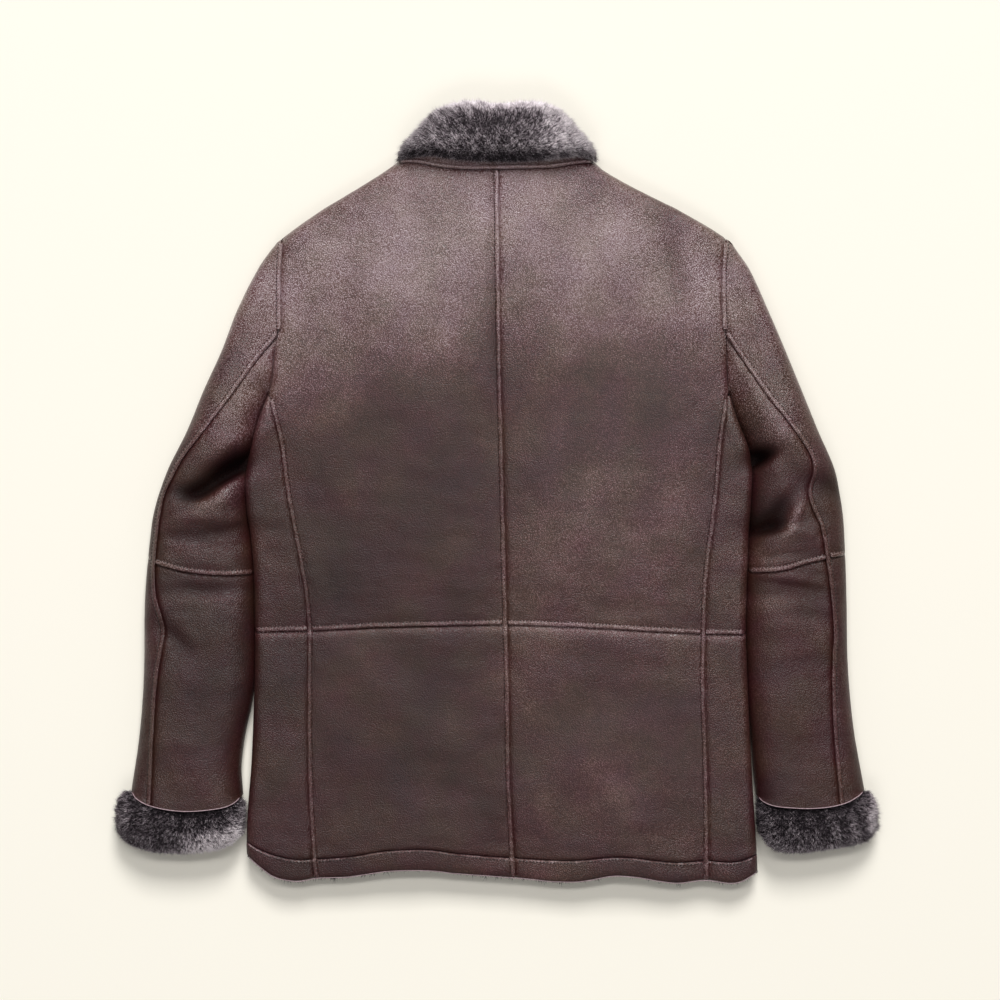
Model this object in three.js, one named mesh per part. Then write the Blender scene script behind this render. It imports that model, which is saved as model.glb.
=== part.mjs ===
// A hip-length shearling coat, lying face down on a flat surface with its back up.
// Millimetres. +Z is up, +Y runs from the hem to the collar, and left is -X as seen from above.
// Each hide is one wall: a skin outside and a springy wool pile inside. Two walls lie on each
// other, so the coat is a set of flattened tubes whose bottoms are flat where they rest.
import * as THREE from 'three';

// Driving sizes
const wall = 14; // skin and pile of one hide
const slot = 2; // air left between two hides
const seamGap = 0.3; // between neighbouring pieces
const sleeveTrim = 1.2; // how far the pile side of a sleeve's pieces stops short of their seams
const bodyHeight = 2 * wall + slot;
const midLevel = bodyHeight / 2;
const pressedWall = 4; // from the slot's middle up to the skin, in a deep fold
const sleeveHeight = 37;
const cuffHeight = 46;
const collarHeight = 56;
const standWall = 12;
const puffReach = 70; // how far from the armhole a sleeve swells to its full height
const tuck = 0.5; // a sleeve's inner edge lies this far under the body's edge
const cuffSlotRise = 7;
const welt = { halfWidth: 3, base: 0.35, edge: 1.1, crown: 1.6 };
const cuffEdge = { halfWidth: 1, base: 0.35, edge: 0.9, crown: 1.3 };

// Rounded edges: level is the height of the widest point, over and under are how far the
// rounding above and below it reaches inwards.
const shoulderEdge = { level: 15, over: 16, under: 14 };
const sideEdge = { level: 21, over: 11, under: 22 };
const sleeveOuterEdge = { level: 15, over: 30, under: 14 };
const sleeveInnerEdge = { level: 9, over: 34, under: 10 };
const cuffOuterEdge = { level: 19, over: 24, under: 14 };
const collarSideEdge = { level: 28, over: 24, under: 24 };

// Levels, as y
const shoulderPointY = 266.7;
const sleeveSeamTopY = 170;
const junctionY = 102; // armhole, side seam and underarm crease meet here
const armpitReach = 68;
const junctionStep = 3.6;
const junctionGap = 0.6;
const cuffGap = 0.6;

// Samples across and along the pieces
const count = {
  shoulder: 4, armholeUpper: 4, armholeLower: 6, sideSeam: 7, across: 7, lower: 6,
  hem: 2, sidePanel: 4, sleeveUpper: 16, sleeveLower: 8, cuff: 5,
};

// Outer silhouette from the neck point over the shoulder and down the sleeve to the cuff
const outline = [
  { y: 348, left: -104, right: 102 },
  { y: 338, left: -118, right: 113 },
  { y: 317, left: -151, right: 151 },
  { y: 296, left: -186, right: 193 },
  { y: shoulderPointY, left: -227, right: 242 },
  { y: 254, left: -239, right: 253 },
  { y: 233, left: -253, right: 267 },
  { y: 191, left: -274, right: 286 },
  { y: 149, left: -290, right: 304 },
  { y: 107, left: -309, right: 321 },
  { y: 65, left: -326, right: 338 },
  { y: 23, left: -347, right: 356 },
  { y: -19, left: -361, right: 364 },
  { y: -61, left: -367, right: 367 },
  { y: -113, left: -371, right: 368.5 },
  { y: -187, left: -372, right: 370 },
  { y: -250, left: -376, right: 376 },
  { y: -313, left: -385, right: 387 },
];

// Armhole from the shoulder point, then the underarm crease and the body's side edge
const bodyEdge = [
  { y: shoulderPointY, left: -227, right: 242 },
  { y: 241, left: -228.5, right: 239 },
  { y: 212, left: -229, right: 238 },
  { y: sleeveSeamTopY, left: -229, right: 239.5 },
  { y: 149, left: -233, right: 241 },
  { y: 120, left: -237, right: 242.5 },
  { y: junctionY, left: -241, right: 245 },
  { y: 79, left: -250, right: 252 },
  { y: 44, left: -259.5, right: 265.5 },
  { y: 23, left: -264, right: 268.5 },
  { y: -15, left: -263.5, right: 267 },
  { y: -45, left: -259.5, right: 265 },
  { y: -82, left: -256, right: 263.5 },
  { y: -140, left: -255, right: 262 },
  { y: -197, left: -255, right: 263.5 },
  { y: -281, left: -258, right: 267.5 },
  { y: -334, left: -262, right: 270.5 },
  { y: -372, left: -263.5, right: 273 },
  { y: -415, left: -262, right: 275 },
];

// How far a sleeve's inner edge stands off the body's edge
const sleeveStandoff = [
  { y: junctionY, left: 0, right: 0 },
  { y: 70, left: -tuck, right: -tuck },
  { y: -190, left: -tuck, right: -tuck },
  { y: -229, left: 4, right: -tuck },
  { y: -250, left: 8, right: 0.5 },
  { y: -271, left: 10.5, right: 1.5 },
  { y: -292, left: 11, right: 2 },
  { y: -319, left: 7, right: 3.5 },
];

const sideSeam = [
  { y: junctionY, left: -241 + junctionStep, right: 245 - junctionStep },
  { y: 55, left: -226, right: 234 },
  { y: 6, left: -219.5, right: 230 },
  { y: -36, left: -212, right: 225 },
  { y: -74, left: -205, right: 220 },
  { y: -106, left: -199.5, right: 217.5 },
  { y: -143, left: -196.5, right: 216.5 },
  { y: -197, left: -196.5, right: 215.5 },
  { y: -302, left: -195.5, right: 218.5 },
  { y: -388, left: -191, right: 219.5 },
  { y: -415, left: -188, right: 219.5 },
];

const sleeveSeam = [
  { y: sleeveSeamTopY, left: -229, right: 239.5 },
  { y: 139, left: -254, right: 260 },
  { y: 102, left: -280, right: 285 },
  { y: 67, left: -307, right: 312 },
  { y: 39, left: -329, right: 330 },
  { y: 20, left: -340, right: 333 },
  { y: 0, left: -350, right: 328 },
  { y: -16, left: -354, right: 332 },
  { y: -36, left: -357, right: 341 },
  { y: -74, left: -361, right: 347.5 },
  { y: -106, left: -360, right: 352 },
  { y: -145, left: -350, right: 355 },
  { y: -167, left: -353, right: 354 },
  { y: -197, left: -358, right: 353 },
  { y: -255, left: -362, right: 355 },
  { y: -335, left: -365, right: 362 },
];

const centreSeam = [
  { y: 348, x: -1 },
  { y: 170, x: 1 },
  { y: 44, x: 4 },
  { y: -137, x: 8.5 },
  { y: -218, x: 10.5 },
  { y: -302, x: 11.5 },
  { y: -386, x: 16 },
  { y: -415, x: 17.5 },
];

const neckSeam = [
  { x: -104, y: 348 },
  { x: -84, y: 347 },
  { x: -58, y: 342.5 },
  { x: -26, y: 340.5 },
  { x: 22, y: 341 },
  { x: 57, y: 342.5 },
  { x: 84, y: 346 },
  { x: 102, y: 348 },
];

const waistSeam = [
  { x: -270, y: -144.5 },
  { x: -196, y: -143 },
  { x: -125, y: -139.5 },
  { x: -67, y: -138 },
  { x: 8.5, y: -137 },
  { x: 66, y: -138.5 },
  { x: 150, y: -143 },
  { x: 216, y: -146.5 },
  { x: 275, y: -147 },
];

// The stitched top of the hem band and the cut edge below it
const hem = [
  { x: -264, top: -367, bottom: -380 },
  { x: -250, top: -375, bottom: -393 },
  { x: -234, top: -381.5, bottom: -404 },
  { x: -212, top: -386, bottom: -408.5 },
  { x: -190, top: -385.5, bottom: -405.5 },
  { x: -156, top: -383, bottom: -404 },
  { x: -115, top: -376.5, bottom: -398 },
  { x: -77, top: -375, bottom: -397 },
  { x: -42, top: -379.5, bottom: -400.5 },
  { x: 17, top: -384.5, bottom: -405 },
  { x: 80, top: -387, bottom: -409.5 },
  { x: 129, top: -383, bottom: -402.5 },
  { x: 187, top: -389, bottom: -410.5 },
  { x: 219.5, top: -387.5, bottom: -407.5 },
  { x: 251, top: -388.5, bottom: -410.5 },
  { x: 276, top: -380, bottom: -398 },
];

// How far the elbow seam and the cuff line sag below the straight line between their ends
const elbowSag = [
  { s: 0, left: 0, right: 0 },
  { s: 0.15, left: 4.5, right: -0.5 },
  { s: 0.4, left: 7.5, right: 1 },
  { s: 0.7, left: 5.5, right: 4 },
  { s: 1, left: 0, right: 0 },
];
const cuffSag = [
  { s: 0, left: 0, right: 0 },
  { s: 0.06, left: 8, right: 5 },
  { s: 0.2, left: 15, right: 12 },
  { s: 0.4, left: 18.5, right: 15.5 },
  { s: 0.65, left: 17, right: 14.5 },
  { s: 0.85, left: 12.5, right: 11 },
  { s: 0.95, left: 7, right: 6.5 },
  { s: 1, left: 0, right: 0 },
];
const elbowOuterY = { left: -68, right: -64 };
const elbowInnerY = { left: -84, right: -82 };
const cuffInnerY = -319;

// Silhouette of the fur cuffs: the outer side, the lower edge and the side next to the body
const cuffOuterSide = {
  left: [[-385, -313], [-396, -314], [-402, -327], [-403, -343], [-400, -358], [-389, -369]],
  right: [[387, -313], [396, -314], [401.5, -326], [403, -341], [401, -355], [389, -367]],
};
const cuffLowerEdge = {
  left: [[-389, -369], [-364, -376], [-333, -379], [-298, -376], [-276, -368], [-264, -357]],
  right: [[389, -367], [360, -372.5], [322, -378], [296, -377], [282, -369], [273.5, -357]],
};
const cuffInnerSide = {
  left: [[-269, -319], [-264, -327], [-263.5, -342], [-264, -357]],
  right: [[273, -319], [272, -330], [272.5, -345], [273.5, -357]],
};

// Silhouette of the turned-down fur collar
const collarLowerEdge = [[-105, 349], [-70, 352], [-40, 348.5], [0, 346.5], [50, 348], [88, 351.5], [105, 348]];
const collarFold = [[-62, 404], [-40, 409.5], [-20, 411], [-4, 408], [20, 409.5], [44, 410], [63, 405]];
const collarLeftSide = [[-105, 349], [-103, 360], [-95, 371], [-85, 381], [-74, 394], [-62, 404]];
const collarRightSide = [[105, 348], [104, 359], [96, 371], [86, 382], [75, 395], [63, 405]];
const standEndY = 393;
const fallDown = [0, 0.06, 0.18, 0.36, 0.56, 0.74, 0.9, 1];
const fallWall = 15;
const fallLip = 3;
const fallEdgeReach = 14;
const foldReach = 22;

// The stand's side edges, from the neck seam up to its end inside the fold
const standSide = [
  { y: 348, left: -104, right: 102 },
  { y: 352.5, left: -99, right: 98 },
  { y: 358, left: -92, right: 92 },
  { y: 366, left: -84.5, right: 85 },
  { y: 375, left: -77, right: 77.5 },
  { y: 384, left: -69, right: 70 },
  { y: standEndY, left: -60, right: 61 },
];

// The largest folds and soft swells. length is a half size along the fold and turn its angle from
// +X in degrees. above and below are half widths on its two sides. A negative height is a trough.
const folds = [
  { x: -292, y: 66, length: 46, above: 30, below: 18, turn: 52, height: 4 },
  { x: -273, y: 31, length: 18, above: 11, below: 10, turn: 30, height: -14 },
  { x: -294, y: 17, length: 17, above: 11, below: 8, turn: 40, height: -9 },
  { x: -315, y: -4, length: 15, above: 9, below: 7, turn: 12, height: -8 },
  { x: -300, y: -27, length: 34, above: 9, below: 9, turn: 6, height: 3 },
  { x: -300, y: -44, length: 34, above: 7, below: 9, turn: 2, height: -4 },
  { x: -305, y: -102, length: 30, above: 6, below: 10, turn: 0, height: -4 },
  { x: -340, y: -150, length: 18, above: 6, below: 7, turn: -40, height: -4 },
  { x: 292, y: 74, length: 40, above: 26, below: 16, turn: -52, height: 4 },
  { x: 276, y: 37, length: 20, above: 7, below: 10, turn: 20, height: -14 },
  { x: 345, y: 6, length: 20, above: 8, below: 8, turn: -25, height: -5 },
  { x: 303, y: -12, length: 16, above: 7, below: 8, turn: 45, height: -5 },
  { x: 317, y: -20, length: 22, above: 9, below: 9, turn: -60, height: 4 },
  { x: 283, y: -50, length: 24, above: 8, below: 9, turn: 8, height: -7 },
  { x: 310, y: -99, length: 28, above: 4, below: 8, turn: -8, height: -4 },
  { x: -100, y: 200, length: 70, above: 60, below: 60, turn: 90, height: 3 },
  { x: 105, y: 200, length: 70, above: 60, below: 60, turn: 90, height: 3 },
  { x: 172, y: 235, length: 30, above: 12, below: 12, turn: 84, height: -3 },
  { x: -96, y: -392, length: 60, above: 24, below: 24, turn: 90, height: 4 },
  { x: 130, y: -392, length: 60, above: 24, below: 24, turn: 90, height: 4 },
];

const skin = { name: 'skin', color: 0x4b3a36, roughness: 0.55, metalness: 0 };
const fur = { name: 'fur', color: 0x6b6468, roughness: 0.95, metalness: 0 };
const rawEdge = { name: 'raw edge', color: 0x9a8282, roughness: 0.7, metalness: 0 };

const clamp = (value) => Math.min(Math.max(value, 0), 1);
const smooth = (value) => clamp(value) ** 2 * (3 - 2 * clamp(value));
const mix = (a, b, t) => a + (b - a) * t;
const mixPoint = (a, b, t) => [mix(a[0], b[0], t), mix(a[1], b[1], t)];
const steps = (n) => Array.from({ length: n + 1 }, (_, i) => i / n);
const sampled = (curve, shareList) => shareList.map((t) => curve(t));
const nearStart = (n) => steps(n).map((t) => 1 - Math.cos((t * Math.PI) / 2));
const nearEnd = (n) => steps(n).map((t) => Math.sin((t * Math.PI) / 2));

// Height of a quarter-round edge, 0 at the edge and 1 where the rounding ends
const rounding = (distance, reach) => Math.sqrt(1 - (1 - clamp(distance / reach)) ** 2);

// Smooth curve through a table's rows, as value(key)
function tableCurve(rows, key, value) {
  const sorted = [...rows].sort((a, b) => a[key] - b[key]);
  const slopeAt = (i) => {
    const before = sorted[Math.max(i - 1, 0)];
    const after = sorted[Math.min(i + 1, sorted.length - 1)];
    return (after[value] - before[value]) / (after[key] - before[key]);
  };
  return (at) => {
    const last = sorted.length - 2;
    const found = sorted.findIndex((row) => row[key] > at) - 1;
    const i = found === -2 ? last : Math.max(found, 0);
    const span = sorted[i + 1][key] - sorted[i][key];
    const t = clamp((at - sorted[i][key]) / span);
    const rise = sorted[i + 1][value] - sorted[i][value];
    const a = slopeAt(i) * span - rise;
    const b = rise - slopeAt(i + 1) * span;
    return sorted[i][value] + rise * t + t * (1 - t) * (a * (1 - t) + b * t);
  };
}

// Plan curves as t -> [x, y]
const downCurve = (xOfY, y0, y1) => (t) => [xOfY(mix(y0, y1, t)), mix(y0, y1, t)];
const acrossCurve = (yOfX, x0, x1) => (t) => [mix(x0, x1, t), yOfX(mix(x0, x1, t))];
const saggingCurve = (from, to, sag) => (t) => [mix(from[0], to[0], t), mix(from[1], to[1], t) - sag(t)];
function splineCurve(points) {
  const curve = new THREE.SplineCurve(points.map(([x, y]) => new THREE.Vector2(x, y)));
  return (t) => curve.getPointAt(t).toArray();
}

// Where an x(y) curve meets a y(x) curve
function meet(xOfY, yOfX, startY) {
  let y = startY;
  for (let round = 0; round < 12; round += 1) y = yOfX(xOfY(y));
  return y;
}

// Shortest distance in plan from a point to a polyline
function distanceTo(line, x, y) {
  let best = Infinity;
  for (let i = 1; i < line.length; i += 1) {
    const [ax, ay] = line[i - 1];
    const [dx, dy] = [line[i][0] - ax, line[i][1] - ay];
    const t = clamp(((x - ax) * dx + (y - ay) * dy) / (dx * dx + dy * dy));
    best = Math.min(best, Math.hypot(x - ax - t * dx, y - ay - t * dy));
  }
  return best;
}

function foldHeight(x, y) {
  return folds.reduce((sum, fold) => {
    const turn = THREE.MathUtils.degToRad(fold.turn);
    const [dx, dy] = [x - fold.x, y - fold.y];
    const alongFold = (dx * Math.cos(turn) + dy * Math.sin(turn)) / fold.length;
    const sideways = dy * Math.cos(turn) - dx * Math.sin(turn);
    const acrossFold = sideways / (sideways > 0 ? fold.above : fold.below);
    return sum + fold.height * Math.exp(-(alongFold ** 2 + acrossFold ** 2) / 2);
  }, 0);
}

// Plan grid between four boundary lines: rows[j][k] runs from first[j] to last[j]
function coons(first, last, top, bottom, across, down) {
  const n = across.length - 1;
  return down.map((v, j) => across.map((u, k) => [0, 1].map((c) =>
    mix(first[j][c], last[j][c], u) + mix(top[k][c], bottom[k][c], v)
    - mix(mix(top[0][c], top[n][c], u), mix(bottom[0][c], bottom[n][c], u), v))));
}

// Share of the way along a polyline at each of its points
function shares(points) {
  const sums = [0];
  for (let i = 1; i < points.length; i += 1) {
    sums.push(sums[i - 1] + Math.hypot(points[i][0] - points[i - 1][0], points[i][1] - points[i - 1][1]));
  }
  return sums.map((sum) => sum / sums[sums.length - 1]);
}

// Pulls the first and last rows and columns of a grid of points inwards
function trimmed(grid, trim) {
  const pulled = grid.map((row) => row.map((point) => point.clone()));
  const pull = (j, k, towardsJ, towardsK) => {
    const step = grid[towardsJ][towardsK].clone().sub(grid[j][k]);
    pulled[j][k].add(step.setLength(Math.min(trim, step.length() / 3)));
  };
  const lastJ = grid.length - 1;
  const lastK = grid[0].length - 1;
  grid.forEach((_, j) => {
    pull(j, 0, j, 1);
    pull(j, lastK, j, lastK - 1);
  });
  grid[0].forEach((_, k) => {
    pull(0, k, 1, k);
    pull(lastJ, k, lastJ - 1, k);
  });
  return pulled;
}

const lowered = (row, by) => row.map(([x, y]) => [x, y - by]);
const loweredStart = (plan, by) => [lowered(plan[0], by), ...plan.slice(1)];

const group = new THREE.Group();

// Closed wall between two matching grids of points, its faces turned outwards
function addWall(name, finish, outerGrid, innerGrid, innerTrim = seamGap) {
  const outer = trimmed(outerGrid, seamGap / 2);
  const inner = trimmed(innerGrid, innerTrim);
  const [rows, columns] = [outer.length, outer[0].length];
  const positions = [...outer.flat(), ...inner.flat()].flatMap((p) => p.toArray());
  const out = (j, k) => j * columns + k;
  const ins = (j, k) => rows * columns + j * columns + k;
  const triangles = [];
  const quad = (a, b, c, d) => triangles.push(a, b, c, a, c, d);
  for (let j = 0; j < rows - 1; j += 1) {
    for (let k = 0; k < columns - 1; k += 1) {
      quad(out(j, k), out(j, k + 1), out(j + 1, k + 1), out(j + 1, k));
      quad(ins(j, k), ins(j + 1, k), ins(j + 1, k + 1), ins(j, k + 1));
    }
    quad(out(j, 0), out(j + 1, 0), ins(j + 1, 0), ins(j, 0));
    quad(out(j, columns - 1), ins(j, columns - 1), ins(j + 1, columns - 1), out(j + 1, columns - 1));
  }
  for (let k = 0; k < columns - 1; k += 1) {
    quad(out(0, k + 1), out(0, k), ins(0, k), ins(0, k + 1));
    quad(out(rows - 1, k + 1), ins(rows - 1, k + 1), ins(rows - 1, k), out(rows - 1, k));
  }
  const point = (i) => new THREE.Vector3(...positions.slice(3 * i, 3 * i + 3));
  let volume = 0;
  for (let i = 0; i < triangles.length; i += 3) {
    volume += point(triangles[i]).dot(point(triangles[i + 1]).cross(point(triangles[i + 2])));
  }
  if (volume < 0) triangles.reverse();
  const geometry = new THREE.BufferGeometry();
  geometry.setAttribute('position', new THREE.Float32BufferAttribute(positions, 3));
  geometry.setIndex(triangles);
  geometry.computeVertexNormals();
  const mesh = new THREE.Mesh(geometry, new THREE.MeshStandardMaterial(finish));
  mesh.name = name;
  group.add(mesh);
  return outer;
}

// A flattened tube or part of one. plan[j][k] is its outer outline's grid and inset[j][k] the
// same grid drawn in to the end of the slot. path lists the samples that the wall passes, each
// on the upper side or, with under set, on the lower side.
function addTubeWall(name, finish, { plan, inset, path, top, bottom, slotTop, slotBottom, innerTrim }) {
  const place = (grid, upper, lower) => grid.map((row) => path.map(({ k, under }) =>
    new THREE.Vector3(row[k][0], row[k][1], (under ? lower : upper)(row[k][0], row[k][1]))));
  return addWall(name, finish, place(plan, top, bottom), place(inset, slotTop, slotBottom), innerTrim);
}

const over = (from, to) => (from < to
  ? Array.from({ length: to - from + 1 }, (_, i) => ({ k: from + i, under: false }))
  : Array.from({ length: from - to + 1 }, (_, i) => ({ k: from - i, under: false })));
const below = (from, to) => over(from, to).map(({ k }) => ({ k, under: true }));

// Place at a share of the way along a polyline
function placeAlong(points, along, share) {
  const found = along.findIndex((value) => value >= share);
  const i = Math.min(Math.max(found, 1), points.length - 1);
  return mixPoint(points[i - 1], points[i], (share - along[i - 1]) / (along[i] - along[i - 1]));
}

// Draws a plan grid in along its rows by one wall at the first and, if asked, the last column
function insetPlan(plan, bothEdges, inset = wall) {
  return plan.map((row) => {
    const along = shares(row);
    const width = row.slice(1).reduce((sum, [x, y], k) => sum + Math.hypot(x - row[k][0], y - row[k][1]), 0);
    const share = Math.min(inset / width, bothEdges ? 0.3 : 0.6);
    return along.map((at) => placeAlong(row, along, at + share * (bothEdges ? 1 - 2 * at : 1 - at)));
  });
}

// The height of the faceted outer surfaces at a place in plan
function facetHeight(surfaces, x, y) {
  let best = -Infinity;
  for (const surface of surfaces) {
    for (let j = 0; j < surface.length - 1; j += 1) {
      for (let k = 0; k < surface[0].length - 1; k += 1) {
        const corners = [surface[j][k], surface[j][k + 1], surface[j + 1][k + 1], surface[j + 1][k]];
        for (const [a, b, c] of [[0, 1, 2], [0, 2, 3]].map((t) => t.map((i) => corners[i]))) {
          const area = (b.x - a.x) * (c.y - a.y) - (c.x - a.x) * (b.y - a.y);
          const u = ((x - a.x) * (c.y - a.y) - (c.x - a.x) * (y - a.y)) / area;
          const v = ((b.x - a.x) * (y - a.y) - (x - a.x) * (b.y - a.y)) / area;
          const slack = 1e-6;
          if (u >= -slack && v >= -slack && u + v <= 1 + slack) {
            best = Math.max(best, a.z + u * (b.z - a.z) + v * (c.z - a.z));
          }
        }
      }
    }
  }
  return best;
}

// Shortens a polyline by a distance at its start and at its end
function shortened(points, startCut, endCut) {
  const cut = (line, distance) => {
    let left = distance;
    const rest = [...line];
    while (rest.length > 2 && Math.hypot(rest[1][0] - rest[0][0], rest[1][1] - rest[0][1]) <= left + 2) {
      left -= Math.hypot(rest[1][0] - rest[0][0], rest[1][1] - rest[0][1]);
      rest.shift();
    }
    const length = Math.hypot(rest[1][0] - rest[0][0], rest[1][1] - rest[0][1]);
    rest[0] = mixPoint(rest[0], rest[1], left / length);
    return rest;
  };
  return cut(cut(points, startCut).reverse(), endCut).reverse();
}

// A raised strip of skin that covers a seam, laid on the faceted panels beside it
function addStrip(name, finish, points, surfaces, size, startCut = 0, endCut = 0) {
  const line = shortened(points, startCut, endCut);
  const offsets = [-size.halfWidth, 0, size.halfWidth];
  const rises = [size.edge, size.crown, size.edge];
  const probe = seamGap + 0.2;
  const sections = line.map(([x, y], i) => {
    const before = line[Math.max(i - 1, 0)];
    const after = line[Math.min(i + 1, line.length - 1)];
    const length = Math.hypot(after[0] - before[0], after[1] - before[1]);
    const [nx, ny] = [-(after[1] - before[1]) / length, (after[0] - before[0]) / length];
    const heightAt = (across, along) =>
      facetHeight(surfaces, x + nx * across + ny * along, y + ny * across - nx * along);
    const heights = offsets.map((offset) => Math.max(...[-probe, probe].flatMap((along) =>
      [-probe, probe].map((aside) => heightAt(offset || aside, along)))));
    const known = heights.filter(Number.isFinite);
    const middle = known.reduce((sum, z) => sum + z, 0) / known.length;
    return offsets.map((offset, k) => ({
      x: x + nx * offset,
      y: y + ny * offset,
      z: Number.isFinite(heights[k]) ? heights[k] : middle,
    }));
  });
  // Where a panel bulges above the straight run between two sections, both are lifted
  sections.slice(1).forEach((section, i) => section.forEach((end, k) => {
    const start = sections[i][k];
    const bulge = [0.2, 0.4, 0.6, 0.8].map((t) => Math.max(...[-probe, probe].map((aside) => {
      const step = k === 1 ? aside : 0;
      return facetHeight(surfaces, mix(start.x, end.x, t) + step, mix(start.y, end.y, t) + step);
    })) - mix(start.z, end.z, t));
    const lift = Math.max(0, ...bulge.filter(Number.isFinite)) * 1.15;
    start.z += lift;
    end.z += lift;
  }));
  const place = (lift) => sections.map((section) => {
    const slope = (section[2].z - section[0].z) / (2 * size.halfWidth);
    return section.map(({ x, y, z }, i) => new THREE.Vector3(x, y, z + lift[i] * Math.hypot(1, slope)));
  });
  addWall(name, finish, place(rises), place([size.base, size.base, size.base]));
}

const centreX = tableCurve(centreSeam, 'y', 'x');
const neckY = tableCurve(neckSeam, 'x', 'y');
const waistY = tableCurve(waistSeam, 'x', 'y');
const hemTopY = tableCurve(hem, 'x', 'top');
const hemBottomY = tableCurve(hem, 'x', 'bottom');
const hemLine = sampled(acrossCurve(hemBottomY, hem[0].x, hem[hem.length - 1].x), steps(60));
const neckCentreY = meet(centreX, neckY, 341);
const waistCentreY = meet(centreX, waistY, -140);
const hemRounding = { reach: 12, drop: 4 };

const centreStrip = [];
const centrePanels = [];
const neckSamples = {};

for (const side of ['left', 'right']) {
  const outlineX = tableCurve(outline, 'y', side);
  const edgeX = tableCurve(bodyEdge, 'y', side);
  const seamX = tableCurve(sideSeam, 'y', side);
  const sleeveSeamX = tableCurve(sleeveSeam, 'y', side);
  const standoff = tableCurve(sleeveStandoff, 'y', side);
  const outward = side === 'left' ? -1 : 1;
  const innerX = (y) => edgeX(y) + outward * standoff(y);
  const lineOf = (curve) => sampled(curve, steps(80));

  const outlineLine = lineOf(downCurve(outlineX, 348, -313));
  const edgeLine = lineOf(downCurve(edgeX, sleeveSeamTopY, -415));
  const armholeLine = lineOf(downCurve(edgeX, shoulderPointY, junctionY));
  const innerLine = lineOf(downCurve(innerX, junctionY, cuffInnerY));

  // Heights of the body's outer surface and of the slot between its two walls
  const bodyTop = (x, y) => {
    const crease = smooth((sleeveSeamTopY - y) / 60);
    return bodyHeight + foldHeight(x, y)
      - (bodyHeight - shoulderEdge.level) * (1 - rounding(distanceTo(outlineLine, x, y), shoulderEdge.over))
      - crease * (bodyHeight - sideEdge.level) * (1 - rounding(distanceTo(edgeLine, x, y), sideEdge.over))
      - hemRounding.drop * (1 - rounding(distanceTo(hemLine, x, y), hemRounding.reach));
  };
  const bodyBottom = (x, y) => {
    const crease = smooth((sleeveSeamTopY - y) / 60);
    return shoulderEdge.level * (1 - rounding(distanceTo(outlineLine, x, y), shoulderEdge.under))
      + crease * sideEdge.level * (1 - rounding(distanceTo(edgeLine, x, y), sideEdge.under));
  };
  const slotHalf = (x, y) => mix(seamGap, slot, smooth(Math.min(
    distanceTo(outlineLine, x, y), distanceTo(edgeLine, x, y)) / wall)) / 2;
  const slotTop = (x, y) => midLevel + slotHalf(x, y);
  const slotBottom = (x, y) => midLevel - slotHalf(x, y);
  const body = { top: bodyTop, bottom: bodyBottom, slotTop, slotBottom };

  // Corners of the side panel, and the rows that all the body's panels share
  const waistEdgeY = meet(edgeX, waistY, -145);
  const waistSeamY = meet(seamX, waistY, -143);
  const hemTopEdgeY = meet(edgeX, hemTopY, -370);
  const hemTopSeamY = meet(seamX, hemTopY, -386);
  const hemTopCentreY = meet(centreX, hemTopY, -384);
  const hemEdgeY = meet(edgeX, hemBottomY, -385);
  const hemSeamY = meet(seamX, hemBottomY, -406);
  const hemCentreY = meet(centreX, hemBottomY, -405);
  const armholeUpperShares = nearStart(count.armholeUpper);
  const armholeLowerShares = nearEnd(count.armholeLower);
  const shoulderRows = sampled(downCurve(outlineX, 348, shoulderPointY), steps(count.shoulder));
  const armholeUpper = sampled(downCurve(edgeX, shoulderPointY, sleeveSeamTopY), armholeUpperShares);
  const armholeLower = sampled(downCurve(edgeX, sleeveSeamTopY, junctionY), armholeLowerShares);
  const sideUpper = sampled(downCurve(seamX, junctionY, waistSeamY), steps(count.sideSeam));
  const sideLower = sampled(downCurve(seamX, waistSeamY, hemTopSeamY), steps(count.lower));
  const sideHem = sampled(downCurve(seamX, hemTopSeamY, hemSeamY), steps(count.hem));

  // Back panels, from the outer boundary to the centre seam
  const upperFirst = [...shoulderRows, ...armholeUpper.slice(1), ...armholeLower.slice(1), ...sideUpper];
  const upperShares = shares(upperFirst);
  const across = nearStart(count.across);
  const neckRow = sampled(acrossCurve(neckY, shoulderRows[0][0], centreX(neckCentreY)), across);
  const waistRow = sampled(acrossCurve(waistY, seamX(waistSeamY), centreX(waistCentreY)), across);
  const hemTopRow = sampled(acrossCurve(hemTopY, seamX(hemTopSeamY), centreX(hemTopCentreY)), across);
  const hemRow = sampled(acrossCurve(hemBottomY, seamX(hemSeamY), centreX(hemCentreY)), across);
  const centreUpper = sampled(downCurve(centreX, neckCentreY, waistCentreY), upperShares);
  const centreLower = sampled(downCurve(centreX, waistCentreY, hemTopCentreY), steps(count.lower));
  const centreHem = sampled(downCurve(centreX, hemTopCentreY, hemCentreY), steps(count.hem));
  const upperPlan = coons(upperFirst, centreUpper, neckRow, waistRow, across, upperShares);
  const lowerPlan = coons(sideLower, centreLower, waistRow, hemTopRow, across, steps(count.lower));
  const hemPlan = coons(sideHem, centreHem, hemTopRow, hemRow, across, steps(count.hem));
  const flat = { ...body, path: over(0, count.across) };
  const addFlat = (name, plan) => addTubeWall(name, skin, { ...flat, plan, inset: plan });
  const upperBack = addFlat(`back_upper_${side}`, upperPlan);
  const lowerBack = addFlat(`back_lower_${side}`, lowerPlan);
  const hemBack = addFlat(`hem_back_${side}`, hemPlan);

  // Front panel: the same outline in one piece below, face down
  const frontRows = [upperPlan, lowerPlan.slice(1), hemPlan.slice(1)].flat();
  addTubeWall(`front_${side}`, skin, {
    ...body, plan: frontRows, inset: frontRows, path: below(0, count.across),
  });

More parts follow.
